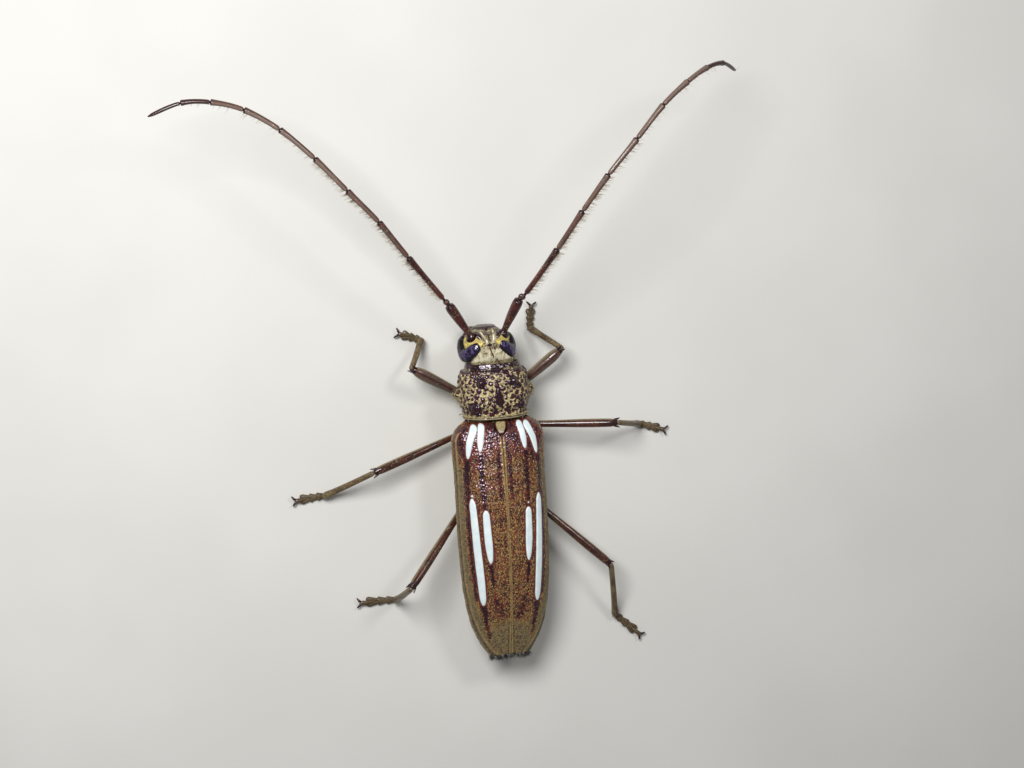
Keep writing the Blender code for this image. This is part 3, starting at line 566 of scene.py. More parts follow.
DARK_LINES = (((2.0, 2.4), (1.99, 4.8), (1.92, 7.4), ((0, 0.12), (0.5, 0.13), (1, 0.12))),
              ((3.1, 2.9), (3.28, 4.6), (3.2, 6.4), ((0, 0.22), (0.5, 0.22), (1, 0.2))),
              ((3.3, 6.4), (3.32, 10.5), (3.0, 15.6), ((0, 0.16), (0.5, 0.13), (1, 0.05))),
              ((0.36, 1.2), (0.5, 3.6), (0.55, 6.6), ((0, 0.05), (0.5, 0.07), (1, 0.03))),
              ((1.7, 12.3), (1.62, 13.2), (1.55, 14.4), ((0, 0.14), (0.5, 0.1), (1, 0.03))),
              ((2.43, 16.1), (2.25, 17.7), (1.9, 19.4), ((0, 0.3), (0.4, 0.16), (1, 0.02))))
BLOTCHES = (((1.4, 15.4), (1.15, 16.2), (0.8, 17.0), ((0, 0.1), (0.5, 0.3), (1, 0.3))),
            ((1.2, 16.6), (0.85, 17.1), (0.45, 17.5), ((0, 0.1), (0.5, 0.3), (1, 0.15))))
DOTS = {"left": (2.93, 6.2, 0.12), "right": (1.93, 7.1, 0.09)}
TEETH = ((0.32, 0.2), (1.32, 0.36))
TOOTH_ROW = -5
CASE_WALL = 0.3
SIDES = {"left": 1, "right": -1}

front_y = -0.1 + 0.3 * (1 - np.cos(np.linspace(0, math.pi / 2, 11)[:-1]))
case_y = np.concatenate([front_y, np.linspace(0.2, 21.35, 372)])
case_turn = np.linspace(0, 1 + FOLD_SHARE, 800)
quarter = np.clip(case_turn, 0, 1) * math.pi / 2
folded = np.clip(case_turn - 1, 0, None) / FOLD_SHARE * FOLD_TURN
half = smooth(CASE_HALF, case_y)[:, None]
rim_level = smooth(CASE_RIM, case_y)[:, None]
case_x = SEAM + (half - SEAM) * np.sin(quarter) ** ROUNDING - FOLD * (1 - np.cos(folded))
rise = smooth(CASE_CREST, case_y)[:, None] - rim_level
case_z = rim_level + rise * np.maximum(np.cos(quarter), 0) ** ROUNDING - 1.2 * FOLD * np.sin(folded)
steps = np.hypot(np.diff(case_x, axis=1), np.diff(case_z, axis=1))
run = np.concatenate([np.zeros((len(case_y), 1)), np.cumsum(steps, axis=1)], axis=1)
edge_run = np.array([np.interp(1.0, case_turn, row) for row in run])[:, None]
share = np.linspace(0, 1, CASE_COLUMNS)
case_run = share * run[:, -1:]
case = np.stack([[np.interp(a, b, x) for a, b, x in zip(case_run, run, case_x)],
                 np.repeat(case_y[:, None], CASE_COLUMNS, axis=1),
                 [np.interp(a, b, z) for a, b, z in zip(case_run, run, case_z)]], axis=-1)
from_edge = edge_run - case_run


def curved(points, share):
    """Places on the smooth curve through the points, at these shares of its length."""
    points = np.asarray(points, float)
    last = len(points) - 1
    at = np.asarray(share, float) * last
    i = np.clip(at.astype(int), 0, last - 1)
    t = (at - i).reshape(-1, *[1] * (points.ndim - 1))
    a, b, c, d = (points[np.clip(i + k, 0, last)] for k in (-1, 0, 1, 2))
    return 0.5 * (2 * b + (c - a) * t + (2 * a - 5 * b + 4 * c - d) * t**2 + (3 * b - a - 3 * c + d) * t**3)


def line_on_case(start, middle, end, widths):
    """How far each point of a wing case lies outside a line painted on it: below zero within the line."""
    length = math.dist(start, end)
    share = np.linspace(widths[0][1] / length, 1 - widths[-1][1] / length, 70)
    nearest = np.full(case_run.shape, np.inf)
    for (x, y), width in zip(curved((start, middle, end), share), smooth(widths, share)):
        row = np.searchsorted(case_y, y)
        sideways = np.interp(x, case[row, :TOP_COLUMNS, 0], case_run[row, :TOP_COLUMNS])
        nearest = np.minimum(nearest, np.hypot(case_run - sideways, case[..., 1] - y) - width)
    return nearest


stripe = np.min([line_on_case(*sizes) for sizes in STRIPES], axis=0)
dark = np.max([1 - eased(line_on_case(*sizes), -0.14, 0.28) for sizes in DARK_LINES], axis=0)
blotch = np.max([1 - eased(line_on_case(*sizes), -0.35, 0.5) for sizes in BLOTCHES], axis=0)
dark = np.maximum(dark, 0.85 * blotch * (0.75 + 0.25 * ripples(case, 0.35, 9)))
run_y = case[..., 1]
shoulder = np.maximum(1 - eased(run_y + 0.7 * np.clip(2.4 - case_run, 0, 3), 1.8, 4.6), 0)
shoulder *= eased(from_edge, 0.35, 1.0)
dark = np.maximum(dark, 0.55 * shoulder)
down = 0.5 + 0.07 * ripples(case, 2.5, 5)
down *= 1 - 0.75 * shoulder
beside = 1 - eased(from_edge - 0.5 * eased(run_y, 1.0, 4.0), 1.1, 1.9)
down += (0.86 - down) * beside * eased(run_y, 1.2, 3.6)
down += (0.82 - down) * eased(run_y + 0.6 * np.abs(case_run - 1.4), 16.8, 19.4)
down *= 1 - 0.9 * dark
down *= eased(stripe, 0.02, 0.3)
bead_place = smooth(((0.0, 0.15), (3.0, 0.12), (8.0, 0.05), (16.0, 0.05), (21.0, 0.1)), run_y)
bead_half = smooth(((0.0, 0.13), (6.0, 0.09), (13.0, 0.07), (21.0, 0.09)), run_y)
bead = bell(case_run - bead_place, bead_half) * eased(run_y, 0.9, 1.5)
bead_side = bell(case_run - bead_place - 1.8 * bead_half, 0.045)
edge_bead = bell(from_edge - 1.2, 0.17) + 1 - eased(from_edge, 0.4, 0.55)
edge_bead *= eased(run_y, 0.4, 1.0)
edge_line = bell(from_edge - 0.8, 0.16) * eased(run_y, 1.0, 2.5)
side_line = bead_side * (0.15 + 0.85 * eased(run_y, 11.0, 14.0) + 0.5 * (1 - eased(run_y, 2.5, 4.5)))
rounded = np.clip(-stripe / 0.17, 0, 1)
relief = 0.09 * np.sqrt(rounded * (2 - rounded)) - 0.025 * bell(stripe - 0.05, 0.06)
relief += 0.045 * bead - 0.035 * side_line
relief -= (0.03 - 0.02 * eased(run_y, 2.5, 5.0)) * bell(case_run, 0.035)
relief += 0.03 * bell(from_edge - 1.2, 0.17) - 0.06 * edge_line
boss = np.hypot((case_run - 3.9) / 0.7, (run_y - 1.1) / 0.9)
relief += 0.12 * bell(boss, 1) + 0.02 * ripples(case, 1.3, 6) * eased(stripe, 0.0, 0.2)
seat = smooth(PLATE_HALF, run_y) + 0.07 - case[..., 0]
relief -= 0.3 * eased(seat, -0.06, 0.02) * (1 - eased(run_y, 0.98, 1.1))
case = case + outward(case, ring=False) * relief[..., None]
front_drop = np.clip((0.2 - run_y) / 0.3, 0, 1)
back_drop = np.clip((run_y - 21.0) / 0.35, 0, 1)
case[..., 2] -= 0.4 * (1 - np.sqrt(1 - front_drop**2)) + 0.3 * (1 - np.sqrt(1 - back_drop**2))
case[..., 1] += 0.3 * share * np.clip((run_y - 10.6) / 10.75, 0, 1) ** 8
edge_bead = np.maximum(edge_bead, 0.9 * eased(run_y, 21.1, 21.25))

CASE_FINISH, tree, shader, place = started("wing case")
pits = cells(place, 4600.0)
dash = stretched(tree, 1.6, 0.95, 1.6)
grain = cells(dash, 6200.0, "Color")
grain = added(tree, "SeparateColor", {0: grain}).outputs[0]
lone = graded(cells(dash, 6200.0), 0.3, 0.48, 1.0, 0.0)
fine = mottle(place, 15000.0)
ragged = mottle(place, 2600.0, 4.0)
covered = plus(times(grain, 0.88), times(fine, 0.22))
lying = graded(less(reading(tree, "down"), covered), -0.2, 0.02)
dense = graded(reading(tree, "down"), 0.6, 0.8)
lying = times(lying, most(lone, times(dense, 0.8)))
cuticle = clouded(place, 1500.0, 0.4, 0.62, (0.038, 0.008, 0.01), (0.118, 0.025, 0.014), 3.0)
shade = plus(reading(tree, "dark"), graded(ragged, 0.3, 0.7, -0.4, 0.4))
shade = graded(shade, 0.3, 0.95)
cuticle = mixed(shade, cuticle, (0.018, 0.004, 0.007))
stripe_edge = graded(reading(tree, "stripe"), 0.05, 0.22, 1.0, 0.0)
cuticle = mixed(stripe_edge, cuticle, (0.12, 0.026, 0.012))
golden = mixed(graded(fine, 0.3, 0.7), (0.24, 0.135, 0.035), (0.64, 0.43, 0.105))
olive = mixed(graded(fine, 0.3, 0.7), (0.095, 0.072, 0.025), (0.295, 0.235, 0.085))
speck = times(graded(grain, 0.62, 0.7), 0.85)
nap = mixed(dense, golden, mixed(speck, olive, (0.06, 0.026, 0.036)))
lying = times(lying, graded(shade, 0.0, 1.0, 1.0, 0.15))
colour = mixed(lying, cuticle, nap)
ridge = times(graded(reading(tree, "bead"), 0.3, 0.85), graded(fine, 0.25, 0.6, 0.5, 1.0))
colour = mixed(ridge, colour, (0.3, 0.2, 0.075))
colour = mixed(graded(reading(tree, "line"), 0.3, 0.85), colour, (0.04, 0.014, 0.01))
ivory = clouded(place, 1500.0, 0.35, 0.65, (0.63, 0.73, 0.75), (0.71, 0.79, 0.79))
painted = graded(reading(tree, "stripe"), -0.03, 0.01, 1.0, 0.0)
gloss = graded(lying, 0.0, 1.0, 0.2, 0.45)
height = times(plus(pits, times(lying, 0.3)), less(1.0, painted))
fed(shader, {
    "Base Color": mixed(painted, colour, ivory),
    "Roughness": graded(painted, 0.0, 1.0, gloss, 0.32),
    "IOR": CUTICLE_IOR,
    "Specular Tint": (1.0, 0.85, 1.0, 1),
    "Normal": raised(height, 5e-5),
})


def thorn(root, tip, radius):
    share = np.linspace(0, 1, 12)
    sizes = radius * (1 - share) ** 0.7 + 0.008
    form = swept(root + (tip - root) * share[:, None], sizes, sizes, 12, (0.3, 0.2, 1.0))
    return ended(form, dome(0.02, 2), dome(0.008, 2))


HORN, tree, shader, place = started("black horn")
fed(shader, {
    "Base Color": clouded(place, 1300.0, 0.35, 0.7, (0.01, 0.004, 0.004), (0.04, 0.012, 0.008)),
    "Roughness": 0.2,
    "Normal": raised(mottle(place, 7000.0), 1e-5),
})
sided = {}
for side, sign in SIDES.items():
    shell = case * (sign, 1, 1)
    dot = np.hypot(case[..., 0] - DOTS[side][0], run_y - DOTS[side][1]) - DOTS[side][2]
    piece = laid(
        f"{side}_wing_case", shell, stripe=np.clip(np.minimum(stripe, dot), -0.5, 0.5), down=down, dark=dark,
        bead=np.maximum(bead, edge_bead), line=np.maximum(edge_line, side_line),
    )
    wall = piece.modifiers.new("wall", "SOLIDIFY")
    wall.thickness = CASE_WALL * MM
    wall.offset = -1
    fitted(piece, CASE_FINISH, "elytra", f"elytron_{side}")
    thorns = []
    for x, length in TEETH:
        row = case[TOOTH_ROW]
        root = row[np.argmin(np.abs(row[:, 0] - x))] - (0, 0, 0.1)
        thorns.append(thorn(root * (sign, 1, 1), (root + (0.05, 0.1 + length, -0.05)) * (sign, 1, 1), 0.11))
    fitted(laid(f"{side}_case_thorns", *thorns), HORN, "elytra")
    sided[side] = shell

# Down on the body: short flat hairs, golden on the wing cases, olive at their sides and tail and khaki on
# the neck shield. Each grows from the cuticle and lies back along it.
BRISTLE_RING = np.array([(math.cos(a), math.sin(a)) for a in np.arange(3) * 2 * math.pi / 3])
BRISTLE_FACES = ((2, 1, 0), (0, 1, 4, 3), (1, 2, 5, 4), (2, 0, 3, 5), (3, 4, 6), (4, 5, 6), (5, 3, 6))
HAIR_POINTS = 7
BEND_AT = 0.45
BEND_WIDTH = 0.85
PATCH = 0.0015
GOLDEN_HAIRS = 4600
OLIVE_HAIRS = 5000
TAIL_HAIRS = 300
SHIELD_HAIRS = 4200
KNOB_HAIRS = 160


def strewn(places, weight, count, chance, ring=True):
    """Roots strewn by weight, with the ways out of the skin, along it and across it, and spots on its map."""
    across = np.gradient(places, axis=1)
    along = np.gradient(places, axis=0)
    share = (np.linalg.norm(np.cross(across, along), axis=-1) * weight).ravel()
    row, column = np.divmod(chance.choice(share.size, count, p=share / share.sum()), places.shape[1])
    step = chance.uniform(-0.5, 0.5, (2, count, 1))
    out = outward(places, ring)[row, column]
    roots = places[row, column] + across[row, column] * step[0] + along[row, column] * step[1]
    rows, columns = places.shape[:2]
    spots = np.stack([(column + step[0, :, 0]) / columns, (row + step[1, :, 0]) / rows], axis=1)
    return roots, out, unit(along[row, column]), unit(across[row, column]), np.clip(spots, 0.002, 0.998)


def bristles(name, roots, ways, out, lengths, width, spots, tones, finish, slot, curl=0.25):
    """Many hairs in one mesh. Each is a closed spike of three sides, bent once towards the skin."""
    count = len(roots)
    lengths = lengths[:, None]
    ways = unit(ways)
    beside = unit(np.cross(ways, out))
    above = np.cross(beside, ways)
    ring = beside[:, None] * BRISTLE_RING[:, :1] + above[:, None] * BRISTLE_RING[:, 1:]
    middle = roots + ways * lengths * BEND_AT + out * lengths * curl * 0.3
    tip = roots + ways * lengths - out * lengths * curl * 0.1
    foot = roots[:, None] + ring * width / 2
    bend = middle[:, None] + ring * width / 2 * BEND_WIDTH
    points = np.concatenate([foot, bend, tip[:, None]], axis=1)
    faces = [tuple(HAIR_POINTS * i + corner for corner in face) for i in range(count) for face in BRISTLE_FACES]
    mesh = bpy.data.meshes.new(name)
    mesh.from_pydata((points.reshape(-1, 3) * MM + SUTURE_FRONT).tolist(), [], faces)
    tone = mesh.attributes.new("tone", "FLOAT", "POINT")
    tone.data.foreach_set("value", np.repeat(tones, HAIR_POINTS).astype(np.float32))
    patch = np.concatenate([BRISTLE_RING, BRISTLE_RING * 0.5, np.zeros((1, 2))]) * PATCH
    spread = (spots[:, None] + patch).reshape(-1, 2)
    corners = np.empty(len(mesh.loops), np.int32)
    mesh.loops.foreach_get("vertex_index", corners)
    mesh.uv_layers.new(name="OFBake").data.foreach_set("uv", spread[corners].astype(np.float32).ravel())
    mesh.shade_smooth()
    fitted(placed(name, mesh), finish, slot)


def hair_finish(name, dark, light, roughness=0.5):
    finish, tree, shader, place = started(name)
    uneven = graded(mottle(place, 4000.0), 0.3, 0.7, -0.15, 0.15)
    tint = graded(plus(reading(tree, "tone"), uneven), 0.0, 1.0)
    fed(shader, {"Base Color": mixed(tint, dark, light), "Roughness": roughness})
    return finish


GOLD_DOWN = hair_finish("golden down", (0.12, 0.06, 0.022), (0.56, 0.36, 0.13))
OLIVE_DOWN = hair_finish("olive down", (0.12, 0.095, 0.04), (0.32, 0.27, 0.135))
KHAKI_DOWN = hair_finish("khaki down", (0.24, 0.18, 0.075), (0.52, 0.44, 0.22))
BLACK_FRINGE = hair_finish("black fringe", (0.012, 0.008, 0.006), (0.6, 0.58, 0.52), 0.35)
chance = np.random.default_rng(21)
olive_share = eased(down, 0.6, 0.85)
open_skin = (stripe > 0.05) * (from_edge > -0.1) * (1 - 0.85 * dark)
for side, sign in SIDES.items():
    shell = sided[side]
    for kind, hairs, weight, finish in (
        ("golden", GOLDEN_HAIRS, down * open_skin * (1 - olive_share), GOLD_DOWN),
        ("olive", OLIVE_HAIRS, down * open_skin * olive_share, OLIVE_DOWN),
    ):
        roots, out, along, across, spots = strewn(shell, weight + 1e-6, hairs, chance, ring=False)
        out = out * np.sign(out[:, 2:3] + 1e-9)
        swing = chance.normal(0, 0.8, (hairs, 1))
        ways = along * np.cos(swing) + across * np.sin(swing) + out * chance.uniform(0.05, 0.25, (hairs, 1))
        bristles(
            f"{side}_case_{kind}_down", roots, ways, out, chance.uniform(0.08, 0.16, hairs), 0.031, spots,
            chance.uniform(0, 1, hairs), finish, "elytra",
        )
    tail = (run_y > 21.1) * (from_edge > 0.0) + 1e-9
    roots, out, along, across, spots = strewn(shell, tail, TAIL_HAIRS, chance, ring=False)
    aside = chance.normal(0, 0.45, TAIL_HAIRS)
    ways = np.stack([aside, np.ones(TAIL_HAIRS), chance.normal(-0.15, 0.25, TAIL_HAIRS)], axis=1)
    bristles(
        f"{side}_tail_fringe", roots, ways, out, chance.uniform(0.25, 0.6, TAIL_HAIRS), 0.034, spots,
        chance.uniform(0, 1, TAIL_HAIRS) ** 5, BLACK_FRINGE, "elytra",
    )
weight = (inside_bead < -0.03) * (1 - banded) * (1 - thin) * (0.3 + 0.7 * (shield[..., 2] > 3.6))
weight = weight * (facing[..., 2] > -0.9) * (level > -4.7) * (level < -0.5) + 1e-9
roots, out, along, across, spots = strewn(skin_of_shield, weight, SHIELD_HAIRS, chance)
swing = chance.uniform(-1.2, 1.2, (SHIELD_HAIRS, 1))
ways = along * np.cos(swing) + across * np.sin(swing) + out * chance.uniform(0.1, 0.5, (SHIELD_HAIRS, 1))
bristles("neck_shield_down", roots, ways, out, chance.uniform(0.07, 0.14, SHIELD_HAIRS), 0.028, spots,
         chance.uniform(0, 1, SHIELD_HAIRS), KHAKI_DOWN, "body_hair")
knobs = np.linalg.norm(np.abs(shield * (1, 0, 0)) + shield * (0, 1, 1) - KNOB, axis=-1)
roots, out, along, across, spots = strewn(skin_of_shield, bell(knobs, 0.6), KNOB_HAIRS, chance)
ways = out + along * chance.normal(0.3, 0.3, (KNOB_HAIRS, 1)) + across * chance.normal(0, 0.3, (KNOB_HAIRS, 1))
bristles("neck_shield_side_hairs", roots, ways, out, chance.uniform(0.2, 0.45, KNOB_HAIRS), 0.022, spots,
         chance.uniform(0, 1, KNOB_HAIRS), KHAKI_DOWN, "body_hair", curl=0.0)

# The head: a hard capsule under khaki down, with a dark line and a pit down its middle, two ridges that
# hold the feelers' sockets, and a bare black front edge. It turns a little to the left.
HEAD_ENDS = (-8.25, -4.8)
HEAD_TURN = math.radians(2.0)
HEAD_SHIFT = np.array((0.3, 0.0, 0.0))
NECK = np.array((0.0, -4.2, 0.0))
HEAD_HALF = ((-8.25, 1.02), (-8.0, 1.25), (-7.7, 1.6), (-7.3, 1.95), (-6.8, 2.05), (-6.0, 2.0), (-5.4, 2.1),
             (-4.8, 1.9))
HEAD_TOP = ((-8.25, 4.8), (-8.1, 5.1), (-7.5, 5.9), (-6.9, 6.15), (-6.2, 6.12), (-5.4, 5.8), (-4.8, 5.5))
HEAD_LOW = ((-8.25, 2.92), (-8.0, 2.6), (-7.4, 2.15), (-6.5, 2.2), (-5.4, 2.6), (-4.8, 2.8))
HEAD_WIDEST = ((-8.45, 3.8), (-7.5, 4.1), (-5.4, 4.3))
SOCKET = np.array((1.36, -7.55, 5.25))
NAPE = (-6.5, -5.4)
HEAD_HAIRS = 2600


def on_head(points, sign=1):
    """Points given for the left of a straight head, for this side of it and turned as it is."""
    x, y, z = np.moveaxis(np.asarray(points, float) * (sign, 1, 1) - NECK, -1, 0)
    c, s = math.cos(HEAD_TURN), math.sin(HEAD_TURN)
    return np.stack([c * x - s * y, s * x + c * y, z], axis=-1) + NECK + HEAD_SHIFT


head_y = np.linspace(*HEAD_ENDS, 120)[:, None]
head_turn = whole_turn(256)[None, :]
sizes = [smooth(stops, head_y) for stops in (HEAD_HALF, HEAD_TOP, HEAD_LOW, HEAD_WIDEST)]
capsule = ended(arch(head_y, head_turn, *sizes, 2.3, 2.2), dome(0.2, 12), [(0.0, 0.0)])
facing = outward(capsule)
x, y, z = np.moveaxis(capsule, -1, 0)
relief = 0.03 * ripples(capsule, 0.8, 9)
on_top = eased(z, 4.5, 4.8)
sunk = np.zeros_like(x)
tan_patch = np.zeros_like(x)
knoll = np.zeros_like(x)
for sign in (1, -1):
    away = np.linalg.norm(capsule - SOCKET * (sign, 1, 1), axis=-1)
    relief += 0.16 * bell(away - 0.56, 0.12) * eased(y, -7.9, -7.5) - 0.12 * bell(away, 0.36)
    sunk = np.maximum(sunk, 1 - eased(away, 0.46, 0.54))
    off_ridge = (x - sign * (0.86 - 0.3 * (y + 7.7))) / 0.27
    knoll += np.exp(-(off_ridge**2) - ((y + 7.62) / 0.4) ** 2) * (z > 4.4)
    behind = 0.5 * (sign * x - SOCKET[0]) + 0.87 * (y - SOCKET[1]) + 0.12
    crescent = eased(away, 0.5, 0.56) * (1 - eased(away, 1.2, 1.3)) * eased(behind, -0.1, 0.1) * (z > 3.9)
    tan_patch = np.maximum(tan_patch, crescent)
relief += 0.24 * knoll
groove = bell(x, 0.1) * on_top * (y > -8.2)
relief -= 0.1 * groove * (0.4 + 0.6 * (y < -6.7))
pit = np.exp(-((x / 0.3) ** 2) - ((y + 6.83) / 0.11) ** 2) * on_top
relief -= 0.1 * pit
wander = x + 0.04 * np.sin(5 * y)
line = bell(wander, 0.065) * on_top * eased(y, -8.1, -7.9) * (1 - eased(y, -5.8, -5.4))
dark = np.clip(np.maximum(np.maximum(line, 1.3 * pit), 0.95 * eased(knoll, 0.4, 0.7)), 0, 1)
front = (1 - eased(y + 0.05 * ripples(capsule, 0.5, 31), -8.2, -8.04)) * eased(z, 3.6, 3.9)
relief -= 0.07 * bell(z - 3.2 - 0.12 * x**2, 0.07) * (y < -8.0)
relief -= 0.05 * bell(x, 0.08) * (y < -8.0) * (z > 3.2)
forehead = on_top * (1 - eased(y, -7.15, -6.9)) * eased(y, -8.12, -7.9)
dark = np.maximum(dark, 0.45 * forehead)
pale = bell(np.abs(wander) - 0.2 - 0.33 * np.clip(-6.9 - y, 0, 2), 0.09) * forehead
dark *= 1 - 0.9 * pale * (dark < 0.5)
pale = np.maximum(pale, 0.85 * eased(y, -6.75, -6.3) * (1 - eased(y, -5.5, -5.3)) * eased(z, 4.2, 5.2))
skin_of_head = on_head(capsule + facing * relief[..., None])
skin_of_head[..., 0] -= HEAD_SHIFT[0] * np.clip((y - NAPE[0]) / (NAPE[1] - NAPE[0]), 0, 1)

finish, tree, shader, place = started("head")
nap = mottle(place, 11000.0, 3.0)
patches = mottle(place, 1400.0)
streaks = mottle(stretched(tree, 2.4, 1.2, 1.2), 1500.0, 4.0)
bare = most(reading(tree, "dark"), most(reading(tree, "front"), reading(tree, "sunk")))
cover = graded(plus(nap, times(patches, 0.6)), 0.74, 0.86)
cover = most(cover, reading(tree, "tan"))
cover = most(cover, times(reading(tree, "pale"), graded(streaks, 0.36, 0.48)))
cover = times(cover, graded(bare, 0.25, 0.7, 1.0, 0.0))
khaki = mixed(graded(nap, 0.35, 0.65), (0.2, 0.15, 0.07), (0.48, 0.41, 0.24))
khaki = mixed(reading(tree, "tan"), khaki, mixed(nap, (0.6, 0.46, 0.11), (0.95, 0.75, 0.22)))
whitish = mixed(graded(streaks, 0.4, 0.6), (0.5, 0.43, 0.26), (0.88, 0.82, 0.63))
khaki = mixed(reading(tree, "pale"), khaki, whitish)
fed(shader, {
    "Base Color": mixed(cover, (0.026, 0.01, 0.009), khaki),
    "Roughness": graded(cover, 0.0, 1.0, 0.18, 0.68),
    "Normal": raised(nap, 1.5e-5),
})
head_piece = laid("head_capsule", skin_of_head, dark=dark, front=front, sunk=sunk, tan=tan_patch, pale=pale)
fitted(head_piece, finish, "body_hair", "head")
weight = (1 - np.maximum(np.maximum(dark, front), sunk)) * (y < -5.2) * (0.4 + 0.6 * (z > 3.5))
roots, out, along, across, spots = strewn(skin_of_head, weight + 1e-9, HEAD_HAIRS, chance)
swing = chance.uniform(-0.9, 0.9, (HEAD_HAIRS, 1))
ways = along * np.cos(swing) + across * np.sin(swing) + out * chance.uniform(0.1, 0.4, (HEAD_HAIRS, 1))
bristles("head_down", roots, ways, out, chance.uniform(0.07, 0.14, HEAD_HAIRS), 0.024, spots,
         chance.uniform(0, 1, HEAD_HAIRS), KHAKI_DOWN, "body_hair")

# The eyes: glossy black bands bent round the sockets like a C that is open in front, with a painted violet sheen
# on their upper side.
# Each is a swelling of the head's own cuticle made of many fine six-sided lenses.
EYE_ROUTE = ((0.82, -7.0, 5.82), (1.15, -6.72, 5.78), (1.55, -6.4, 5.55), (1.95, -6.05, 5.16),
             (2.16, -6.08, 4.65), (2.19, -6.6, 4.2), (2.09, -7.15, 3.87), (1.96, -7.48, 3.75))
EYE_HALF = (0.27, 0.47, 0.55, 0.6, 0.56, 0.48, 0.4, 0.24)
EYE_TALL = (0.16, 0.25, 0.3, 0.36, 0.4, 0.42, 0.36, 0.2)
EYE_SIDES = 48
FACETS_PER_METRE = 9000.0

finish, tree, shader, place = started("eye")
# The violet is painted sheen, mottled, laid only where the violet reading marks the upper side of an eye.
shine = graded(mottle(place, 4200.0, 3.0), 0.4, 0.6)
shine = times(shine, reading(tree, "violet"))
deep = clouded(place, 3600.0, 0.4, 0.6, (0.016, 0.01, 0.05), (0.075, 0.05, 0.16))
fed(shader, {
    "Base Color": mixed(shine, (0.007, 0.004, 0.008), deep),
    "Roughness": 0.14,
    "Coat Weight": 0.3,
    "Coat Roughness": 0.08,
    "Normal": raised(cells(place, FACETS_PER_METRE), 1.1e-5),
})
for side, sign in SIDES.items():
    share = np.linspace(0, 1, 110)
    route = curved(EYE_ROUTE, share)
    halves = curved(EYE_HALF, share)
    tall = curved(EYE_TALL, share)
    lift = unit(route - np.stack([0 * share, route[:, 1], 4.2 + 0 * share], axis=1))
    band = ended(swept(route, halves, tall, EYE_SIDES, lift, 2.3), dome(0.16), dome(0.2))
    # Painted sheen: on the upper side of each band, away from its ends and its low part.
    crown = eased(np.sin(whole_turn(EYE_SIDES)), 0.62, 0.95)
    ends = padded(eased(share, 0.05, 0.14))[:, None]
    fitted(laid(f"{side}_eye", on_head(band, sign), violet=crown * ends * eased(band[..., 2], 4.2, 4.9)),
           finish, "eye", f"eye_{side}")

# The mouth: a small upper lip, two curved black jaws and two short feeling palps, set in the soft brown base
# of the mouth under the head's front. The jaws and the lip are bare shining horn.
MOUTH_ROUTE = ((0.0, -7.15, 2.75), (0.0, -7.15, 2.2), (0.0, -7.2, 1.65), (0.0, -7.25, 1.3))
MOUTH_HALF = ((0.0, 1.05), (0.4, 1.02), (0.75, 0.85), (1.0, 0.55))
LIP_HALF = ((-8.25, 0.35), (-8.05, 0.6), (-7.82, 0.5))
LIP_HEIGHT = 2.03
JAW_ROUTE = ((0.82, -7.5, 1.72), (0.98, -7.72, 1.42), (0.9, -7.86, 1.08), (0.6, -7.92, 0.82),
             (0.22, -7.94, 0.74))
JAW_RADII = (0.32, 0.33, 0.28, 0.2, 0.06)
PALP_ROUTE = ((0.95, -6.6, 1.95), (1.27, -6.88, 1.4), (1.34, -7.18, 0.95), (1.12, -7.5, 0.62))
PALP_RADII = ((0, 0.2), (0.3, 0.23), (0.34, 0.14), (0.38, 0.22), (0.64, 0.25), (0.68, 0.14), (0.72, 0.2),
              (1, 0.18))

lip_y = np.linspace(-8.25, -7.82, 20)
lip_route = np.stack([0 * lip_y, lip_y, LIP_HEIGHT + 0 * lip_y], axis=1)
lip = swept(lip_route, smooth(LIP_HALF, lip_y), 0.2, 48, power=3.0)
fitted(laid("upper_lip", on_head(ended(lip, dome(0.05), dome(0.3)))), HORN, "mouth_horn", "labrum")
# The feelers' fade colour is partly their own brown-grey and partly painted sheen.
FEELER_BROWN = downy(
    "feeler brown", (0.035, 0.01, 0.01), (0.08, 0.022, 0.017), (0.3, 0.235, 0.15), 0.18, 0.16,
    bare="joint", fade=(0.18, 0.125, 0.098), rough=4e-6,
)
MOUTH_BROWN = downy("mouth base", (0.03, 0.011, 0.009), (0.075, 0.028, 0.018), (0.28, 0.22, 0.12), 0.35, 0.35)
share = np.linspace(0, 1, 40)
halves = smooth(MOUTH_HALF, share)
base = swept(curved(MOUTH_ROUTE, share), halves, halves * 0.58, 48, (0, 1, 0), power=2.4)
base = ended(base, dome(0.2), dome(0.4))
fitted(laid("mouth_base", on_head(base)), MOUTH_BROWN, "mouth_horn")
for side, sign in SIDES.items():
    share = np.linspace(0, 1, 50)
    radii = curved(JAW_RADII, share)
    jaw = swept(curved(JAW_ROUTE, share), radii, radii * 0.8, 32, (0, 1, 0.2))
    jaw = ended(jaw, dome(0.3), dome(0.05))
    fitted(laid(f"{side}_jaw", on_head(jaw, sign)), HORN, "mouth_horn", f"mandible_{side}")
    radii = smooth(PALP_RADII, share)
    palp = swept(curved(PALP_ROUTE, share), radii, radii, 28, (0, 1, 0))
    palp = on_head(ended(palp, dome(0.1), dome(0.15)), sign)
    fitted(laid(f"{side}_palp", palp, joint=0.0, fade=0.2), FEELER_BROWN, "feeler", f"palp_{side}")

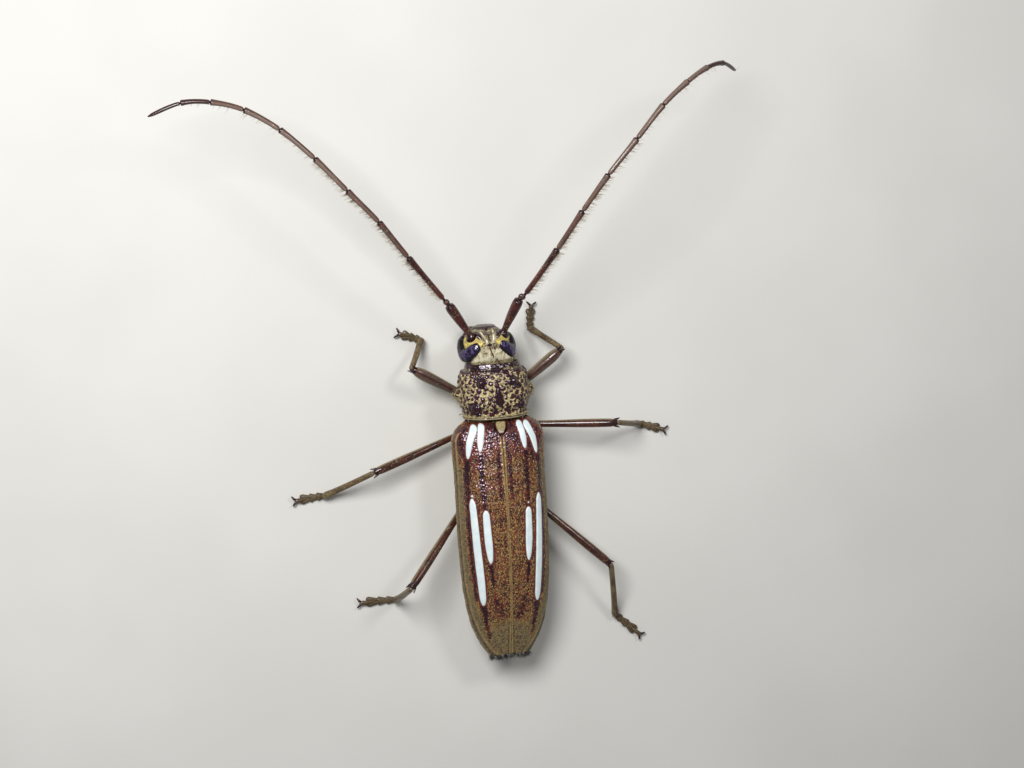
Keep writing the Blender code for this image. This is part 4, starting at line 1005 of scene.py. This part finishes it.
# The feelers: eleven tubes of red-brown cuticle joined end to end, a thick glossy first one, a tiny second
# and nine slender ones, each a little wider at its far end. A fringe of pale hairs hangs from the middle ones.
FEELER_LENGTHS = (4.1, 0.84, 5.16, 4.07, 3.78, 3.78, 3.68, 3.25, 2.73, 2.36, 2.77)
FEELER_PLAN = {"left": (56, 51, 52, 53, 48, 48, 43, 32, 16, 1, -19),
               "right": (69, 44, 57, 58, 54, 48, 46, 36, 27, 10, -20)}
FEELER_RISE = {"left": (21.5, 20.5, 18, 13, 8, 5, 4, 3, 1, -3, -8),
               "right": (34, 32, 29, 25, 17, 4, -8, -18, -27, -36, -48)}
FEELER_RADII = (0.45, 0.27, 0.27, 0.26, 0.25, 0.25, 0.25, 0.25, 0.24, 0.22, 0.17)
SCAPE_FORM = ((0.0, 0.42), (0.055, 0.45), (0.125, 0.27), (0.3, 0.32), (0.6, 0.41), (0.88, 0.45), (0.97, 0.4),
              (1.0, 0.2))
TUBE_FORM = ((0.0, 0.45), (0.03, 0.8), (0.08, 0.88), (0.45, 0.9), (0.85, 1.02), (0.965, 1.12), (0.99, 1.0),
             (1.0, 0.6))
BEAD_FORM = ((0.0, 0.55), (0.15, 0.9), (0.6, 1.0), (0.9, 0.95), (1.0, 0.5))
TIP_FORM = ((0.0, 0.45), (0.04, 0.9), (0.5, 1.0), (0.8, 0.85), (1.0, 0.35))
PIECE_ROWS = 34
LASH_SIDES = 30
JOINT_SHARE = 0.985
BEAD_SHARE = 0.9
FRINGE_HAIRS = 560


def bunched(count):
    """Shares from 0 to 1 that lie closer together towards both ends."""
    return 0.5 - 0.5 * np.cos(np.linspace(0, math.pi, count))


def heading(plan, rise, sign):
    """The direction that points this far ahead of straight sideways, and this far up, in degrees."""
    plan, rise = np.radians(plan), np.radians(rise)
    return np.array((sign * np.cos(rise) * np.cos(plan), -np.cos(rise) * np.sin(plan), np.sin(rise)))


SCAPE_BROWN = downy(
    "first feeler joint", (0.03, 0.008, 0.008), (0.07, 0.016, 0.013), (0.3, 0.24, 0.13), 0.22, 0.2, bare="bulb"
)
FRINGE = hair_finish("pale fringe", (0.24, 0.19, 0.11), (0.5, 0.42, 0.28), 0.4)
for side, sign in SIDES.items():
    joints = [on_head(SOCKET, sign)]
    for length, plan, rise in zip(FEELER_LENGTHS, FEELER_PLAN[side], FEELER_RISE[side]):
        joints.append(joints[-1] + heading(plan, rise, sign) * length)
    joints = np.array(joints)
    share = bunched(60)
    scape_route = joints[0] + (joints[1] - joints[0]) * share[:, None] * JOINT_SHARE
    scape_route[:, 2] -= 0.12 * np.sin(math.pi * share)
    radii = smooth(SCAPE_FORM, share)
    scape = ended(swept(scape_route, radii, radii, 40), dome(0.2), dome(0.04))
    bulb = padded(np.maximum(1 - eased(share, 0.09, 0.16), eased(share, 0.93, 0.98)))[:, None]
    fitted(laid(f"{side}_scape", scape, bulb=bulb), SCAPE_BROWN, "feeler", f"feeler_{side}_scape")
    route, radii, dim, number = [], [], [], []
    share = bunched(PIECE_ROWS)
    for i in range(1, 11):
        form = BEAD_FORM if i == 1 else TIP_FORM if i == 10 else TUBE_FORM
        route.append(curved(joints, (i + (BEAD_SHARE if i == 1 else JOINT_SHARE) * share) / 11))
        radii.append(FEELER_RADII[i] * smooth(form, share))
        dim.append(np.maximum(eased(share, 0.945, 0.98), 1 - eased(share, 0.0, 0.02)))
        number.append(np.full(PIECE_ROWS, i))
    route, radii, dim, number = (np.concatenate(values) for values in (route, radii, dim, number))
    lash = swept(route, radii, radii, LASH_SIDES)
    turn = whole_turn(LASH_SIDES)
    ridges = 0.05 * np.cos(3 * turn + 0.6)
    lash = lash + outward(lash) * (ridges * radii[:, None] * (1 - dim[:, None]))[..., None]
    lash = ended(lash, dome(0.05), dome(0.06))
    dim = padded(dim)[:, None]
    nodes = [f"feeler_{side}_{i:02d}" for i in range(3, 12)]
    number = padded(number)
    # The middle joints are paler: partly their own brown-grey, partly painted sheen.
    fade = np.interp(number, (2, 3, 5, 7, 10), (0.0, 0.4, 1.0, 1.0, 0.6))[:, None]
    # Painted sheen: paler along the tops of the three ridges, darker in the grooves between them.
    fade = fade * (0.6 + 0.4 * np.cos(3 * turn + 0.6))
    dim = np.maximum(dim, np.interp(number, (7.5, 9), (0.0, 0.44))[:, None])
    fitted(laid(f"{side}_feeler_lash", lash, joint=dim, fade=fade), FEELER_BROWN, "feeler", *nodes)
    strength = np.interp(number, (1, 2, 3, 5, 6, 10), (0.1, 1.0, 1.0, 0.7, 0.25, 0.03))
    out = outward(lash)
    under = np.clip(out @ np.array((0.75 * sign, 0.55, -0.35)), 0, 1) ** 2
    roots, out, along, across, spots = strewn(lash, strength[:, None] * under + 1e-9, FRINGE_HAIRS, chance)
    ways = out + along * chance.uniform(0.2, 0.8, (FRINGE_HAIRS, 1))
    ways += across * chance.normal(0, 0.15, (FRINGE_HAIRS, 1))
    bristles(f"{side}_feeler_fringe", roots, ways, out, chance.uniform(0.3, 0.7, FRINGE_HAIRS), 0.029, spots,
             chance.uniform(0, 1, FRINGE_HAIRS), FRINGE, "feeler", curl=0.0)

# The thighs: a round hip joint let into the body, a short ring and a long glossy dark thigh that swells
# to a black knee, where two small thorns stand.
COXAE = {"front": ((1.1, -1.3, 1.65), (0.72, 0.75, 0.7)),
         "mid": ((1.4, 0.95, 1.55), (0.78, 0.72, 0.7)),
         "hind": ((1.5, 6.2, 1.5), (1.05, 0.65, 0.62))}
THIGH_LENGTHS = {"front": 7.25, "mid": 10.2, "hind": 11.9}
SHIN_LENGTHS = {"front": 3.9, "mid": 5.4, "hind": 6.7}
FOOT_LENGTHS = {"front": 2.4, "mid": 2.9, "hind": 3.6}
THIGH_FORM = ((0.0, 0.24), (0.02, 0.31), (0.09, 0.33), (0.125, 0.22), (0.17, 0.27), (0.45, 0.33), (0.78, 0.39),
              (0.93, 0.38), (1.0, 0.3))
THIGH_STOUTNESS = {"front": 1.3, "mid": 1.0, "hind": 1.0}
THIGH_SIDES = 36
THIGH_BOW = 0.12
KNEE_GAP = 0.2
ANKLE_HEIGHT = 0.6
LEG_ANGLES = {("front", "left"): (32, 15, 124, 20),
              ("front", "right"): (38.5, 13.5, 142, 84),
              ("mid", "left"): (-17.5, 9, -26.5, -5),
              ("mid", "right"): (-1.5, 19.5, -18.5, -18),
              ("hind", "left"): (-46, 26.5, -76, 1),
              ("hind", "right"): (-44, 12.5, -80, -44)}
UP = np.array((0.0, 0.0, 1.0))


def leg_joints(pair, side):
    """Hip, knee and ankle of one leg, and the way its foot points."""
    sign = SIDES[side]
    thigh_plan, thigh_rise, shin_plan, foot_plan = LEG_ANGLES[pair, side]
    place, halves = COXAE[pair]
    centre = np.array(place) * (sign, 1, 1)
    way = heading(thigh_plan, thigh_rise, sign)
    knee = centre + way * THIGH_LENGTHS[pair]
    fall = (knee[2] - ANKLE_HEIGHT) / SHIN_LENGTHS[pair]
    ankle = knee + heading(shin_plan, 0, sign) * SHIN_LENGTHS[pair] * math.sqrt(max(1 - fall * fall, 0))
    ankle[2] = ANKLE_HEIGHT
    hip = centre + way * 0.8 / np.linalg.norm(way / np.array(halves))
    return centre, hip, knee, ankle, heading(foot_plan, 0, sign)


def bowed(start, end, lift, share):
    return start + (end - start) * share[:, None] + UP * (lift * np.sin(math.pi * share))[:, None]


def ball(centre, halves):
    up = np.linspace(0, math.pi, 22)[:, None]
    turn = whole_turn(40)[None, :]
    places = np.broadcast_arrays(np.sin(up) * np.cos(turn), np.sin(up) * np.sin(turn), np.cos(up))
    return centre + np.stack(places, axis=-1) * halves


# Its fade colour is the grey of the front thighs' streaks, partly pale down and partly painted sheen.
THIGH_BROWN = downy(
    "thigh cuticle", (0.028, 0.009, 0.008), (0.062, 0.018, 0.012), (0.26, 0.21, 0.11), 0.18, 0.17, bare="knee",
    fade=(0.14, 0.115, 0.095), thick="underneath", rough=5e-6,
)
for pair, side in LEG_ANGLES:
    centre, hip, knee, ankle, _ = leg_joints(pair, side)
    share = bunched(90)
    ahead = unit(knee - hip)
    route = bowed(hip, knee - ahead * KNEE_GAP, THIGH_BOW, share)
    radii = smooth(THIGH_FORM, share) * (1 + (THIGH_STOUTNESS[pair] - 1) * (1 - eased(share, 0.84, 1.0)))
    thigh = ended(swept(route, radii, radii, THIGH_SIDES), dome(0.1), dome(0.14))
    along = unit(route[-1] - route[-2])
    beside = unit(np.cross(along, unit(ankle - knee)))
    thorns = []
    for way in (1, -1):
        root = route[-1] - along * 0.15 + beside * way * 0.24
        thorns.append(thorn(root, root + along * 0.52 + beside * way * 0.2, 0.13))
    dim = padded(eased(share, 0.965, 0.985))[:, None]
    turn = whole_turn(THIGH_SIDES)
    underneath = 0.85 * (1 - eased(np.sin(turn), 0.4, 0.8)) * (1 - dim)
    # Six grey streaks round the front thighs: partly pale down, partly painted sheen.
    sheen_streaks = (0.5 if pair == "front" else 0.0) * (0.5 + 0.5 * np.cos(6 * turn)) * (1 - dim)
    piece = laid(
        f"{pair}_{side}_thigh", ball(centre, COXAE[pair][1]), thigh, *thorns, knee=[0.0, dim, 1.0, 1.0],
        underneath=[0.4, underneath, 0.0, 0.0], fade=[0.0, sheen_streaks, 0.0, 0.0],
    )
    fitted(piece, THIGH_BROWN, "thigh", f"coxa_{pair}_{side}", f"femur_{pair}_{side}")

# The shins and feet: a straight brown shin with low ridges and two end spurs, then three padded foot
# joints, the third split in two lobes, and a slim last joint with two hooked claws. Khaki down covers them.
SHIN_FORM = ((0.0, 0.2), (0.04, 0.26), (0.3, 0.27), (0.8, 0.3), (0.95, 0.35), (1.0, 0.3))
LOBE = ((0, 0.12), (0.5, 0.2), (0.85, 0.24), (1, 0.16)), ((0, 0.34), (0.7, 0.38), (1, 0.28))
FOOT_PADS = ((0.0, 0.27, ((0, 0.2), (0.5, 0.27), (0.9, 0.36), (1, 0.3)), ((0, 0.42), (1, 0.42)), 0.0, 0.0),
             (0.23, 0.49, ((0, 0.18), (0.5, 0.3), (0.9, 0.4), (1, 0.32)), ((0, 0.36), (1, 0.42)), 0.0, 0.0),
             (0.44, 0.77, *LOBE, 0.08, 0.24),
             (0.44, 0.77, *LOBE, -0.08, -0.24))
LAST_FORM = ((0, 0.1), (0.3, 0.12), (0.85, 0.2), (1, 0.17))
CLAW_ROUTE = ((-0.05, 0.06, 0.0), (0.16, 0.26, 0.05), (0.27, 0.4, -0.06), (0.3, 0.42, -0.22))
SHIN_BROWN = downy(
    "shin cuticle", (0.04, 0.018, 0.01), (0.085, 0.042, 0.02), (0.175, 0.135, 0.06), 0.55, 0.3, bare="bare",
    fade=(0.06, 0.04, 0.018),
)
for pair, side in LEG_ANGLES:
    _, hip, knee, ankle, ahead = leg_joints(pair, side)
    share = bunched(60)
    route = bowed(knee, ankle, 0.1, share)
    radii = smooth(SHIN_FORM, share)
    shin = swept(route, radii * 0.92, radii, 32, power=2.4)
    shin = ended(shin, dome(0.15), dome(0.1))
    along = unit(route[-1] - route[-2])
    beside = unit(np.cross(along, UP))
    spurs = []
    for way in (1, -1):
        root = route[-1] + beside * way * 0.18 - along * 0.05 - UP * 0.05
        spurs.append(thorn(root, root + along * 0.34 + beside * way * 0.1, 0.06))
    piece = laid(f"{pair}_{side}_shin", shin, *spurs, bare=[0.0, 1.0, 1.0], fade=0.0)
    fitted(piece, SHIN_BROWN, "shin", f"tibia_{pair}_{side}")
    length = FOOT_LENGTHS[pair]
    across = np.array((-ahead[1], ahead[0], 0.0))
    start = np.array((ankle[0], ankle[1], 0.0)) - ahead * 0.15
    parts = []
    for first, last, halves, tall, shift, shift_end in FOOT_PADS:
        share = bunched(22)
        level = smooth(tall, share) / 2
        middle = start + ahead * ((first + (last - first) * share) * length)[:, None] + UP * level[:, None]
        middle = middle + across * (shift + (shift_end - shift) * share)[:, None]
        form = swept(middle, smooth(halves, share), level, 24, power=2.5)
        parts.append(ended(form, dome(0.03, 4), dome(0.05, 4)))
    share = np.linspace(0, 1, 24)
    root = start + ahead * length * 0.55 + UP * 0.25
    tip = start + ahead * length * 0.93 + UP * 0.42
    radii = smooth(LAST_FORM, share)
    parts.append(ended(swept(bowed(root, tip, 0.05, share), radii, radii, 24), dome(0.05, 4), dome(0.06, 4)))
    for way in (1, -1):
        points = [tip + ahead * on + across * way * aside + UP * up for on, aside, up in CLAW_ROUTE]
        share = np.linspace(0, 1, 22)
        radii = 0.11 * (1 - share) ** 0.6 + 0.01
        parts.append(ended(swept(curved(points, share), radii, radii, 14), dome(0.03, 3), dome(0.01, 2)))
    bare = [0.0] * (len(parts) - 2) + [1.0] * 2
    piece = laid(f"{pair}_{side}_foot", *parts, bare=bare, fade=0.9)
    fitted(piece, SHIN_BROWN, "shin", f"tarsus_{pair}_{side}")

# The studio: a plain pale floor, a large soft lamp ahead and to the beetle's left, a weaker one ahead and to
# its right, and an even pale sky. The camera looks down on the beetle's back.
FLOOR_RADIUS = 0.6
FLOOR_DROP = 2e-5
SKY_STRENGTH = 0.2
LENS = 63.92
CAMERA_PLACE = (28.97, -24.96, 160.53)
CAMERA_TURN = (-7.15413659, -11.56147339, 176.45904967)
disc = bmesh.new()
bmesh.ops.create_circle(disc, cap_ends=True, radius=FLOOR_RADIUS, segments=128)
mesh = bpy.data.meshes.new("floor")
disc.to_mesh(mesh)
disc.free()
floor = placed("floor", mesh)
floor.location = (0, 0, -FLOOR_DROP)
finish, tree, shader, place = started("floor")
tint = clouded(place, 60.0, 0.3, 0.7, (0.6, 0.585, 0.55), (0.63, 0.615, 0.58))
fed(shader, {"Base Color": tint, "Roughness": 0.7})
mesh.materials.append(finish)
floor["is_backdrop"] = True


def lamp(name, place, size, power):
    """A round lamp that points at the floor under the middle of the beetle."""
    data = bpy.data.lights.new(name, "AREA")
    data.shape = "DISK"
    data.size = size * MM
    data.energy = power
    made = placed(name, data)
    made.location = np.array(place) * MM
    x, y, z = place
    made.rotation_euler = Euler((math.atan2(math.hypot(x, y), z), 0, math.atan2(x, -y)))


lamp("main lamp", (50, -58, 125), size=60, power=0.228)
lamp("fill lamp", (-55, -62, 122), size=30, power=0.045)
world = bpy.data.worlds.new("sky")
world.use_nodes = True
fed(world.node_tree.nodes["Background"], {"Color": (0.95, 0.97, 1.0, 1), "Strength": SKY_STRENGTH})
bpy.context.scene.world = world
bpy.context.scene.view_settings.view_transform = "Standard"

lens = bpy.data.cameras.new("camera")
lens.lens = LENS
lens.sensor_width = 36
lens.clip_start = 0.005
lens.clip_end = 5
camera = placed("camera", lens)
camera.location = np.array(CAMERA_PLACE) * MM + SUTURE_FRONT
camera.rotation_euler = Euler([math.radians(turn) for turn in CAMERA_TURN])
bpy.context.scene.camera = camera

visual_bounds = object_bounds()
sizes = {"solids": [list(corner) for corner in solid_bounds], "visual": [list(corner) for corner in visual_bounds]}
